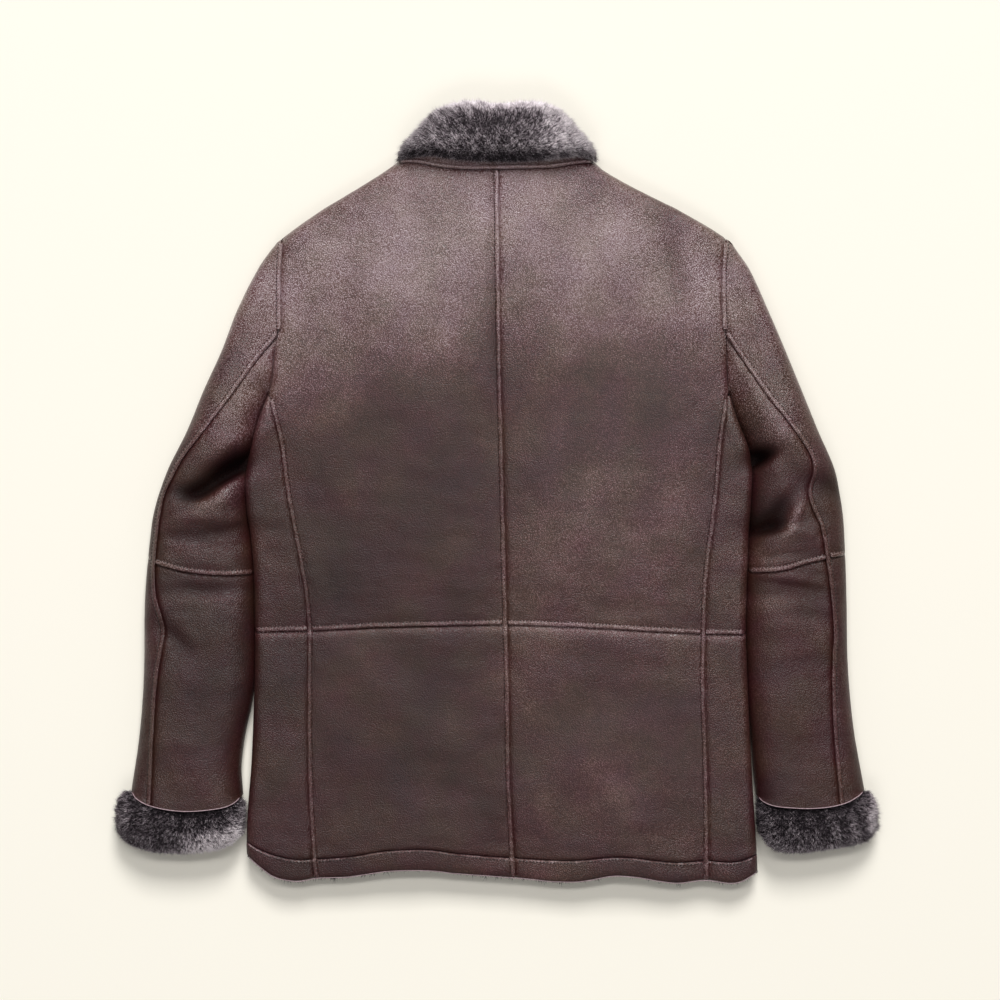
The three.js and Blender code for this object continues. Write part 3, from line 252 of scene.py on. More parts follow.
def foldField(x, y, table):  # sum of long humps and troughs, each wider on one side than the other
    total = np.zeros(np.shape(x))
    for fx, fy, length, above, below, turn, height in table:
        c, s = np.cos(np.radians(turn)), np.sin(np.radians(turn))
        side = (y - fy) * c - (x - fx) * s
        side = side / np.where(side > 0, above, below)
        run = ((x - fx) * c + (y - fy) * s) / length
        total += height * np.exp(-(run ** 2 + side ** 2) / 2)
    return total


def ripple(x, y, size, seed):  # sum of plane waves about one size long in seeded directions
    pick = np.random.default_rng(seed)
    waves = 12
    total = np.zeros(np.shape(x))
    turns, stretches, phases = (pick.uniform(low, high, waves)
                                for low, high in ((0, np.pi), (0.6, 1.5), (0, 6.28)))
    for turn, stretch, phase in zip(turns, stretches, phases):
        total += np.cos(2 * np.pi * (x * np.cos(turn) + y * np.sin(turn)) / (size * stretch) + phase)
    return total / 2.5


def edgeDrop(line, x, y, reach):  # 1 on an edge line, 0 where the quarter-round beside it ends
    return 1 - rounding(lineDistance(line, x, y), reach)


def slotHalf(sides, x, y):  # half the slot between two hides, which closes to a thin gap at the sides
    return (build["slot"] * smooth(nearest(sides, x, y) / (2 * build["wall"])) + build["gap"]) / 2


def slotSides(middle, half):  # heights of a slot's upper and of its lower side
    return (lambda x, y: middle(x, y) + half(x, y)), (lambda x, y: middle(x, y) - half(x, y))


def coons(first, last, top, bottom, u, v):  # plan grid between four border lines
    u, v = np.asarray(u)[None, :, None], np.asarray(v)[:, None, None]
    sides = mix(first[:, None], last[:, None], u) + mix(top[None], bottom[None], v)
    return sides - mix(mix(first[0], last[0], u), mix(first[-1], last[-1], u), v)


def inset(plan, amount):  # draws a plan grid in along its rows, away from their starts
    moved = []
    for row in plan:
        at = lengths(row) / lengths(row)[-1]
        moved.append(along(row, mix(at, 1, min(amount / lengths(row)[-1], 0.6))))
    return np.array(moved)


# How a lapped seam lies: the piece on top is pressed down a little, the one below dips to a groove.
# start: how far from the seam the dip begins to rise. pucker, swell: small waves and a wide dip beside it
seamLook = {
    "lapped": {"depth": 1.3, "start": 0, "reach": 9},
    "grooved": {"depth": 2.8, "start": 2.6, "reach": 8},
    "rolled": {"depth": 3.6, "start": 2.4, "reach": 15},
    "hemFold": {"depth": 2.4, "start": 0.3, "reach": 6},
    "hemBand": {"depth": 1.2, "start": 0, "reach": 1.6},
    "strip": {"depth": 0, "start": 0, "reach": 1},
    "pucker": 0.22, "puckerSize": 12, "puckerReach": 8, "swell": 1.2, "swellReach": 30}


def seamRelief(x, y, seams):  # a quarter-round and a wide dip at each seam, and puckers beside it
    total = np.zeros(np.shape(x))
    puckers = seamLook["pucker"] * ripple(x, y, seamLook["puckerSize"], 5)
    for line, part in seams:
        look = seamLook[part]
        d = lineDistance(line, x, y)
        total -= look["depth"] * (1 - rounding(d - look["start"], look["reach"]))
        total += puckers * np.exp(-d / seamLook["puckerReach"])
        total -= seamLook["swell"] * np.exp(-(d / seamLook["swellReach"]) ** 2)
    return total


# Soft unevenness of every panel. Columns: size of its waves, seed, height
uneven = ((70, 2, 0.35), (24, 3, 0.16), (9, 4, 0.07))
isTrough = folds[:, 6] < -8.5  # the deep hollows of the elbows


def lieOf(x, y, elbows=1.0):  # folds, small creases and unevenness. elbows: share of the elbows' hollows
    total = foldField(x, y, folds[~isTrough]) + elbows * foldField(x, y, folds[isTrough])
    total += foldField(x, y, creases)
    for size, seed, height in uneven:
        total += height * ripple(x, y, size, seed)
    return total


centreX = through(*centreSeam.T)
neckY = through(*neckSeam.T)
waistY = through(*waistSeam.T)
hemTopY = through(hem[:, 0], hem[:, 1])
hemCutY = through(hem[:, 0], hem[:, 2])


def acrossLine(yOfX, x0, x1, count=160):
    x = np.linspace(x0, x1, count)
    return np.stack([x, yOfX(x)], -1)


def downLine(xOfY, y0, y1, count=160):
    y = np.linspace(y0, y1, count)
    return np.stack([xOfY(y), y], -1)


def meet(xOfY, yOfX, y):  # where a seam that runs down crosses one that runs across, near a guessed y
    for _ in range(12):
        y = float(yOfX(xOfY(y)))
    return y


neckLine = acrossLine(neckY, *neckSeam[[0, -1], 0])
waistLine = acrossLine(waistY, *waistSeam[[0, -1], 0])
hemLine = acrossLine(hemTopY, *hem[[0, -1], 0])
hemCutLine = acrossLine(hemCutY, *hem[[0, -1], 0])
centreLine = downLine(centreX, meet(centreX, neckY, 341), meet(centreX, hemCutY, -405))


def sideOfCoat(side):  # every line and height of one side of the coat
    c = 1 if side == "left" else 2
    s = SimpleNamespace(side=side, out=-1 if side == "left" else 1)
    s.outlineX = through(outline[:, 0], outline[:, c])
    s.edgeX = through(bodyEdge[:, 0], bodyEdge[:, c])
    s.seamX = through(sideSeam[:, 0], sideSeam[:, c])
    s.sleeveSeamX = through(sleeveSeam[:, 0], sleeveSeam[:, c])
    standoff = through(sleeveStandoff[:, 0], sleeveStandoff[:, c])
    s.innerX = lambda y: s.edgeX(y) + s.out * standoff(y)
    s.elbowSag = through(elbowSag[:, 0], elbowSag[:, c])
    s.cuffSag = through(cuffSag[:, 0], cuffSag[:, c])
    s.outlineLine = downLine(s.outlineX, outline[0, 0], sleeveEnd[0], 90)
    s.edgeLine = downLine(s.edgeX, sleeveSeamTop, bodyEdge[-1, 0], 90)
    s.armholeLine = downLine(s.edgeX, shoulderPoint, build["junction"], 50)
    s.armholeSeam = s.armholeLine[s.armholeLine[:, 1] > sleeveSeamTop - 5]
    s.innerLine = downLine(s.innerX, build["junction"], sleeveEnd[1], 80)
    s.seamLine = downLine(s.seamX, build["junction"], meet(s.seamX, hemCutY, -406), 120)

    def bodyTop(x, y, seams=()):
        top = bodyHeight + lieOf(x, y, build["elbowShare"]) + seamRelief(x, y, seams)
        top -= (bodyHeight - shoulderEdge["level"]) * edgeDrop(s.outlineLine, x, y, shoulderEdge["over"])
        side = (bodyHeight - sideEdge["level"]) * edgeDrop(s.edgeLine, x, y, sideEdge["over"])
        top -= smooth((sleeveSeamTop - y) / build["sideStart"]) * side
        return top - hemEdge["drop"] * edgeDrop(hemCutLine, x, y, hemEdge["reach"])

    def bodyBottom(x, y):
        low = shoulderEdge["level"] * edgeDrop(s.outlineLine, x, y, shoulderEdge["under"])
        side = sideEdge["level"] * edgeDrop(s.edgeLine, x, y, sideEdge["under"])
        return low + smooth((sleeveSeamTop - y) / build["sideStart"]) * side

    def bodySlot(x, y):
        d = nearest((s.outlineLine, s.edgeLine), x, y)
        return mix(build["gap"], build["slot"], smooth(d / build["wall"])) / 2

    def sleeveTop(x, y, seams=()):
        armhole = lineDistance(s.armholeLine, x, y)
        crown = mix(bodyHeight, build["sleeveHeight"], smooth(armhole / build["puffReach"]))
        lower = smooth((shoulderPoint - y) / build["capLength"])
        reach = mix(shoulderEdge["over"], sleeveOuterEdge["over"], lower)
        inCrease = np.sin(np.pi * np.clip((sleeveSeamTop - y) / build["armpit"], 0, 1))
        top = crown + lieOf(x, y) + seamRelief(x, y, seams)
        top -= (crown - sleeveOuterEdge["level"]) * edgeDrop(s.outlineLine, x, y, reach)
        top -= (crown - sleeveInnerEdge["level"]) * edgeDrop(s.innerLine, x, y, sleeveInnerEdge["over"])
        top -= armpitCrease["depth"] * inCrease * (1 - rounding(armhole, armpitCrease["reach"]))
        return np.maximum(top, sleeveInnerEdge["level"])

    def sleeveBottom(x, y):
        low = sleeveOuterEdge["level"] * edgeDrop(s.outlineLine, x, y, sleeveOuterEdge["under"])
        return low + sleeveInnerEdge["level"] * edgeDrop(s.innerLine, x, y, sleeveInnerEdge["under"])

    s.body = SimpleNamespace(top=bodyTop, bottom=bodyBottom, slot=bodySlot)
    s.sleeve = SimpleNamespace(top=sleeveTop, bottom=sleeveBottom,
                               slot=partial(slotHalf, (s.outlineLine, s.innerLine)))
    return s


coat = {side: sideOfCoat(side) for side in ("left", "right")}


def linear(hexColour):  # sRGB hex to linear light
    parts = np.array([int(hexColour[i:i + 2], 16) for i in (1, 3, 5)]) / 255
    return (*np.where(parts <= 0.04045, parts / 12.92, ((parts + 0.055) / 1.055) ** 2.4), 1.0)


def addNode(tree, kind, inputs=None, stops=None, **settings):
    # a node with its settings and links. A node given as an input is linked by its first output
    made = tree.nodes.new(kind)
    for name, value in settings.items():
        setattr(made, name, value)
    for name, value in (inputs or {}).items():
        if isinstance(value, bpy.types.Node):
            value = value.outputs[0]
        if isinstance(value, bpy.types.NodeSocket):
            tree.links.new(value, made.inputs[name])
        else:
            made.inputs[name].default_value = value
    if stops:
        ramp = made.color_ramp.elements
        while len(ramp) < len(stops):
            ramp.new(0.5)
        for element, (place, colour) in zip(ramp, stops):
            element.position = place
            element.color = linear(colour)
    return made


def newMaterial(name):
    material = bpy.data.materials.new(name)
    material.use_nodes = True
    material.node_tree.nodes.clear()
    return material, partial(addNode, material.node_tree)


# Shearling skin: brown nappa with its grain side out, drum dyed and waxed. The eye sees a satin gleam
# broken up by fine pebbles, greyer with wear and a painted sheen on the shoulders and seams, and painted
# shade in fold hollows.
# pebble, pore: width in mm. Real ones are half as wide, and are drawn coarser so that they show
skinLook = {"hollowShade": "#0d0505", "deep": "#200d0a", "mid": "#3b1c16", "wornAndLit": "#6a4945",
            "frostedSheen": "#a08a8d", "pebble": 1.35, "pore": 0.9, "warpScale": 260.0, "warpDepth": 0.8,
            "depth": 0.5, "roughness": 0.42, "polish": 0.12, "bump": 0.8, "wax": 0.9}


def skinMaterial(name, look):
    # shade = patches + large blotches + flecks of grain + wear and painted light, which brings out the
    # flecks.
    # roughness = patches - wear and painted light. relief = pebbles + pores. the same mask adds a thin coat
    # of wax
    material, add = newMaterial(name)
    place = add("ShaderNodeTexCoord").outputs["Object"]
    rubAndLight = add("ShaderNodeAttribute", attribute_name="rubbedAndLit").outputs["Fac"]
    warp = add("ShaderNodeTexNoise", {"Vector": place, "Scale": look["warpScale"], "Detail": 2.0})
    bent = add("ShaderNodeVectorMath", {0: warp.outputs["Color"], 1: (look["warpDepth"] * mm,) * 3},
               operation="MULTIPLY")
    bent = add("ShaderNodeVectorMath", {0: place, 1: bent}, operation="ADD")
    pebble = add("ShaderNodeTexVoronoi", {"Vector": bent, "Scale": 1000 / look["pebble"]})
    pore = add("ShaderNodeTexNoise", {"Vector": place, "Scale": 1000 / look["pore"], "Detail": 2.0})
    patch = add("ShaderNodeTexNoise", {"Vector": place, "Scale": 17.0, "Detail": 5.0, "Roughness": 0.62})
    blotch = add("ShaderNodeTexNoise", {"Vector": place, "Scale": 4.5, "Detail": 3.0})
    tint = add("ShaderNodeTexNoise", {"Vector": place, "Scale": 24.0, "Detail": 2.0})
    tops = add("ShaderNodeValToRGB", {"Fac": pebble}, stops=[(0.1, "#ffffff"), (0.75, "#000000")])
    speck = add("ShaderNodeMapRange", {"Value": pore, "From Min": 0.34, "From Max": 0.64})
    fleck = add("ShaderNodeMath", {0: tops, 1: speck}, operation="MULTIPLY")
    shade = add("ShaderNodeMath", {0: patch, 1: 0.46, 2: 0.06}, operation="MULTIPLY_ADD")
    shade = add("ShaderNodeMath", {0: blotch, 1: 0.3, 2: shade}, operation="MULTIPLY_ADD")
    shade = add("ShaderNodeMath", {0: fleck, 1: 0.36, 2: shade}, operation="MULTIPLY_ADD")
    grainRubAndLight = add("ShaderNodeMath", {0: fleck, 1: 0.6, 2: 0.25}, operation="MULTIPLY_ADD")
    shade = add("ShaderNodeMath", {0: rubAndLight, 1: grainRubAndLight, 2: shade}, operation="MULTIPLY_ADD")
    # the lowest stop is painted shade for fold hollows, the top one a painted sheen, the one below it wear
    # with painted sheen
    colour = add("ShaderNodeValToRGB", {"Fac": shade}, stops=[
        (0.0, look["hollowShade"]), (0.3, look["deep"]), (0.58, look["mid"]), (0.82, look["wornAndLit"]),
        (1.0, look["frostedSheen"])])
    hue = add("ShaderNodeMapRange", {
        "Value": tint, "From Min": 0.35, "From Max": 0.65, "To Min": 0.474, "To Max": 0.512})
    colour = add("ShaderNodeHueSaturation", {"Hue": hue, "Color": colour})
    gloss = add("ShaderNodeMapRange", {
        "Value": patch, "From Min": 0.3, "From Max": 0.7, "To Min": look["roughness"] + 0.06,
        "To Max": look["roughness"] - 0.06})
    gloss = add("ShaderNodeMath", {0: rubAndLight, 1: -look["polish"], 2: gloss}, operation="MULTIPLY_ADD")
    wax = add("ShaderNodeMath", {0: rubAndLight, 1: look["wax"]}, operation="MULTIPLY")
    # painted shade: the reflection is turned down in the hollows of folds
    mirror = add("ShaderNodeMapRange", {
        "Value": rubAndLight, "From Min": -1.0, "From Max": 0.0, "To Min": 0.05, "To Max": 0.5})
    height = add("ShaderNodeMath", {0: pore, 1: 0.4, 2: tops}, operation="MULTIPLY_ADD")
    bump = add("ShaderNodeBump", {
        "Height": height, "Strength": look["bump"], "Distance": look["depth"] * mm})
    shader = add("ShaderNodeBsdfPrincipled", {
        "Base Color": colour, "Roughness": gloss, "Normal": bump, "Coat Weight": wax, "Coat Roughness": 0.3,
        "Coat Normal": bump, "IOR": 1.5, "Specular IOR Level": mirror})
    add("ShaderNodeOutputMaterial", {"Surface": shader})
    return material


# Wool pile, dyed near black at the root and left silver at the tip. The eye sees dark gaps between
# pale frosted locks. "along" runs from 0 at a hair's root to 1 at its tip.
pileLook = {"root": "#0f080e", "mid": "#3a2d37", "tip": "#b7a9b0", "frost": "#fff7fa", "roughness": 0.75}


def pileMaterial(name, look):  # shade = place along the hair + its silver, which carries painted light and shade too
    material, add = newMaterial(name)
    hair = add("ShaderNodeAttribute", attribute_name="along").outputs["Fac"]
    silverAndLight = add("ShaderNodeAttribute", attribute_name="silverAndLight").outputs["Fac"]
    reach = add("ShaderNodeMath", {0: silverAndLight, 1: 0.55, 2: -0.3}, operation="MULTIPLY_ADD")
    shade = add("ShaderNodeMath", {0: hair, 1: reach}, operation="ADD")
    colour = add("ShaderNodeValToRGB", {"Fac": shade}, stops=[
        (0.3, look["root"]), (0.55, look["mid"]), (0.82, look["tip"]), (1.0, look["frost"])])
    shader = add("ShaderNodeBsdfPrincipled", {
        "Base Color": colour, "Roughness": look["roughness"], "IOR": 1.45})
    add("ShaderNodeOutputMaterial", {"Surface": shader})
    return material


# Fibrous materials. size: width in mm of a curl or a bundle of fibres. depth: height in mm of its relief.
# Pressed wool, on the pile side of a hide where nobody sees it: matt, dark and curly
woolLook = {"dark": "#1c151a", "light": "#4a4048", "size": 3.5, "detail": 4.0, "twist": 1.5, "strength": 0.9,
            "depth": 3.0, "roughness": 0.9, "ior": 1.45}
# Raw cut edge of the skin: pale, matt and a little hairy
edgeLook = {"dark": "#937a80", "light": "#cbb4bb", "size": 1.2, "detail": 3.0, "twist": 0.0, "strength": 0.5,
            "depth": 0.4, "roughness": 0.7, "ior": 1.5}
# Waxed thread: near black, with the gleam of wax
threadLook = {"dark": "#150f0e", "light": "#2e2320", "size": 0.5, "detail": 3.0, "twist": 0.0,
              "strength": 0.5, "depth": 0.4, "roughness": 0.6, "ior": 1.5}


def fibreMaterial(name, look):  # shade = one noise of fibres, from dark to light, and the relief is the same
    material, add = newMaterial(name)
    place = add("ShaderNodeTexCoord").outputs["Object"]
    fibre = add("ShaderNodeTexNoise", {
        "Vector": place, "Scale": 1000 / look["size"], "Detail": look["detail"],
        "Distortion": look["twist"]})
    colour = add("ShaderNodeValToRGB", {"Fac": fibre}, stops=[(0.35, look["dark"]), (0.7, look["light"])])
    bump = add("ShaderNodeBump", {
        "Height": fibre, "Strength": look["strength"], "Distance": look["depth"] * mm})
    shader = add("ShaderNodeBsdfPrincipled", {
        "Base Color": colour, "Normal": bump, "Roughness": look["roughness"], "IOR": look["ior"]})
    add("ShaderNodeOutputMaterial", {"Surface": shader})
    return material


skin = skinMaterial("waxedNappaSkin", skinLook)
pile = pileMaterial("frostedWoolPile", pileLook)
wool = fibreMaterial("pressedWool", woolLook)
cutEdge = fibreMaterial("rawCutEdge", edgeLook)
thread = fibreMaterial("waxedThread", threadLook)
hide = [skin, wool]  # a wall's outer side, then its inner side and rim
print("materials made")


# Places drawn paler with wear and painted highlights on the rolls of folds, places drawn darker with painted
# shade in troughs, and broad patches of tone. Columns: x, y, half length, half width above and below, turn,
# amount
polished = np.array([
    (-266, 92, 26, 12, 12, 62, 0.22), (-290, 0, 24, 3.5, 6, 30, 0.42), (-304, -59, 28, 5, 6, 4, 0.3),
    (-306, -113, 26, 6, 8, 2, 0.36), (277, 82, 28, 11, 11, -60, 0.22), (312, -29, 14, 4, 4, 68, 0.6),
    (280, -66, 24, 5, 6, 3, 0.3), (284, -113, 24, 6, 9, 0, 0.36), (-243, 84, 20, 5, 6, 76, 0.25),
    (247, 82, 20, 5, 6, -78, 0.25), (189, 236, 34, 9, 9, -78, -0.3), (212, 232, 30, 9, 9, -76, 0.2),
    (110, 0, 80, 70, 60, 0, 0.2), (-125, -80, 100, 110, 160, 0, -0.07), (-150, 250, 46, 10, 10, 108, -0.14),
    (-70, 235, 60, 34, 34, 96, 0.08)])
# Wear and painted light over long stretches: wear with a painted sheen on the shoulders, painted shadow
# beside the centre seam, painted highlights on the roll below the waist seam and the hem band's top edge,
# and tone that differs on the right half and the right sleeve. from, start, top: where it begins, in x or y.
# over, reach, border: how far it
# takes to come or go. off: how far below its seam it lies. low: the amount low down, high: how much less
# higher up. least: the share left at the border. size, uneven: waves of the amount.
# folds, creases: what 1 mm of height adds as painted highlight on ridges, less of it on the body, and how
# much more a hollow takes away as painted shade
rubAndLightLook = {"shoulders": {"start": 70, "reach": 220, "slope": 0.2, "least": 0.72, "border": 45, "size": 120},
           "seamShadow": {"amount": 0.4, "reach": 9, "start": 60, "over": 120},
           "roll": {"amount": 0.5, "reach": 6, "off": 3},
           "rightHalf": {"from": 12, "over": 30, "low": 0.08, "high": 0.17, "start": 40, "reach": 110},
           "rightSleeve": {"amount": 0.08, "over": 10, "top": 110, "reach": 60},
           "hemTop": {"amount": 0.5, "uneven": 0.25, "size": 4, "off": 1, "reach": 1.4},
           "body": 0.2, "folds": 0.04, "creases": 0.07, "hollowShade": 2.4, "least": -1.5, "most": 1.3}


def bellAt(distance, reach):
    return np.exp(-(distance / reach) ** 2)


def rubbedAndLit(x, y, look=rubAndLightLook):
    # how far the grain is drawn paler, in wear and painted light: wear with a painted sheen on the
    # shoulders, painted highlights along the roll below the waist seam, the hem band's top edge and fold
    # ridges, and a painted shadow left of the centre seam. Below 0 it is painted shade in the hollows of
    # folds
    onBody = (x > coat["left"].edgeX(y)) & (x < coat["right"].edgeX(y))
    part = look["shoulders"]
    shoulders = smooth((y + part["slope"] * np.abs(x) - part["start"]) / part["reach"])
    border = nearest([s.outlineLine for s in coat.values()], x, y)
    shoulders = shoulders * mix(part["least"], 1, smooth(border / part["border"]))
    shoulders = shoulders * (0.93 + 0.05 * ripple(x, y, part["size"], 14))
    part = look["seamShadow"]
    left = centreX(y) - x
    shadow = part["amount"] * bellAt(left, part["reach"]) * smooth((y - part["start"]) / part["over"])
    wornAndLit = shoulders - np.where(left > 0, shadow, 0)
    part = look["roll"]
    below = waistY(x) - part["off"] - y
    wornAndLit = wornAndLit + part["amount"] * np.where((below > 0) & onBody, bellAt(below, part["reach"]), 0)
    part = look["rightHalf"]
    half = part["low"] - part["high"] * smooth((y - part["start"]) / part["reach"])
    wornAndLit = wornAndLit + np.where(onBody, smooth((x - part["from"]) / part["over"]) * half, 0)
    part = look["rightSleeve"]
    sleeve = part["amount"] * smooth(x / part["over"]) * smooth((part["top"] - y) / part["reach"])
    wornAndLit = wornAndLit - np.where(onBody, 0, sleeve)
    part = look["hemTop"]
    below = hemTopY(x) - y
    band = np.where((below > 0) & onBody, bellAt(below - part["off"], part["reach"]), 0)
    wornAndLit = wornAndLit + foldField(x, y, polished)
    wornAndLit = wornAndLit + band * (part["amount"] + part["uneven"] * ripple(x, y, part["size"], 16))
    # painted highlight on the ridges of folds and creases, and stronger painted shade in their hollows
    lie = look["folds"] * foldField(x, y, folds) + look["creases"] * foldField(x, y, creases)
    lie = np.where(onBody, look["body"], 1) * lie
    return np.clip(wornAndLit + np.where(lie < 0, look["hollowShade"] * lie, lie), look["least"], look["most"])


def addPiece(name, points, faces, materials, node=None, which=None, sharp=50, polish=0.0):
    # one mesh in metres, riding on the coat, standing for its node. the polish amount adds wear and painted
    # sheen to it
    mesh = bpy.data.meshes.new(name)
    faces = [np.asarray(part) for part in faces]
    corners = np.concatenate([part.ravel() for part in faces])
    sizes = np.concatenate([np.full(len(part), part.shape[1]) for part in faces])
    mesh.vertices.add(len(points))
    mesh.vertices.foreach_set("co", (np.asarray(points) * mm).astype(np.float32).ravel())
    mesh.loops.add(len(corners))
    mesh.loops.foreach_set("vertex_index", corners.astype(np.int32))
    mesh.polygons.add(len(sizes))
    mesh.polygons.foreach_set("loop_start", (np.cumsum(sizes) - sizes).astype(np.int32))
    for material in materials:
        mesh.materials.append(material)
    if which is not None:
        mesh.polygons.foreach_set("material_index", which.astype(np.int32))
    mesh.update(calc_edges=True)
    mesh.validate()
    mesh.polygons.foreach_set("use_smooth", np.ones(len(sizes), bool))
    mesh.set_sharp_from_angle(angle=np.radians(sharp))
    layer = mesh.attributes.new("rubbedAndLit", "FLOAT", "POINT")
    layer.data.foreach_set("value", (rubbedAndLit(points[:, 0], points[:, 1]) + polish).astype(np.float32))
    piece = bpy.data.objects.new(name, mesh)
    scene.collection.objects.link(piece)
    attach(piece, "root")
    if node:
        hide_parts(node)
    return piece


def trimmed(grid, trim):  # stops a piece half a seam gap short of its neighbours
    moved = grid.copy()
    for edge, inside in ((np.s_[:, 0], np.s_[:, 1]), (np.s_[:, -1], np.s_[:, -2]),
                         (np.s_[0], np.s_[1]), (np.s_[-1], np.s_[-2])):
        step = grid[inside] - grid[edge]
        size = np.linalg.norm(step, axis=-1, keepdims=True) + 1e-9
        moved[edge] += step / size * np.minimum(trim, size / 3)
    return moved


def gridQuads(index):
    return np.stack([index[:-1, :-1], index[:-1, 1:], index[1:, 1:], index[1:, :-1]], -1).reshape(-1, 4)


def signedVolume(points, quads):
    a, b, c, d = (points[quads[:, i]] for i in range(4))
    return np.einsum("ij,ij->", a, np.cross(b, c)) + np.einsum("ij,ij->", a, np.cross(c, d))


def cellAreas(grid):  # area of each cell of a grid
    a, b, c, d = grid[:-1, :-1], grid[:-1, 1:], grid[1:, 1:], grid[1:, :-1]
    crossed = np.cross(b - a, c - a), np.cross(c - a, d - a)
    return (np.linalg.norm(crossed[0], axis=-1) + np.linalg.norm(crossed[1], axis=-1)) / 2


def addWall(name, node, outer, inner, materials):
    # closed wall between an outer and an inner grid. The first material goes outside, the second on the rest
    outer, inner = trimmed(outer, 0.15), trimmed(inner, 0.3)
    rows, columns = outer.shape[:2]
    near = np.arange(rows * columns).reshape(rows, columns)
    far = near + rows * columns
    rim = np.concatenate([near[0, :-1], near[:-1, -1], near[-1, :0:-1], near[:0:-1, 0]])
    after = np.roll(rim, -1)
    rimQuads = np.stack([after, rim, rim + rows * columns, after + rows * columns], -1)
    quads = np.concatenate([gridQuads(near), gridQuads(far)[:, ::-1], rimQuads])
    points = np.concatenate([outer.reshape(-1, 3), inner.reshape(-1, 3)])
    if signedVolume(points, quads) < 0:
        quads = quads[:, ::-1]
    which = np.ones(len(quads), int)
    which[:(rows - 1) * (columns - 1)] = 0
    piece = addPiece(name, points, [quads], materials, node, which)


def lay(plan, height):  # lifts a plan grid to a height
    return np.dstack([plan, height(plan[..., 0], plan[..., 1])])


def wrapped(over, under, top, bottom):  # one grid from two: over the top, and on round the underside
    return np.concatenate([lay(over, top), lay(under, bottom)], axis=1)


# Points of each panel's grid: across, down and, for a piece that wraps an edge, on round underneath
grids = {"back": (46, 130), "backLow": (46, 66), "hem": (46, 9), "side": (22, 66, 9), "sideLow": (22, 62, 9),
         "sideHem": (22, 9, 9), "sleeveOuter": (20, 116, 12), "sleeveInner": (40, 116, 10),
         "forearmOuter": (20, 84, 12), "forearmInner": (40, 84, 10), "front": (12, 40)}


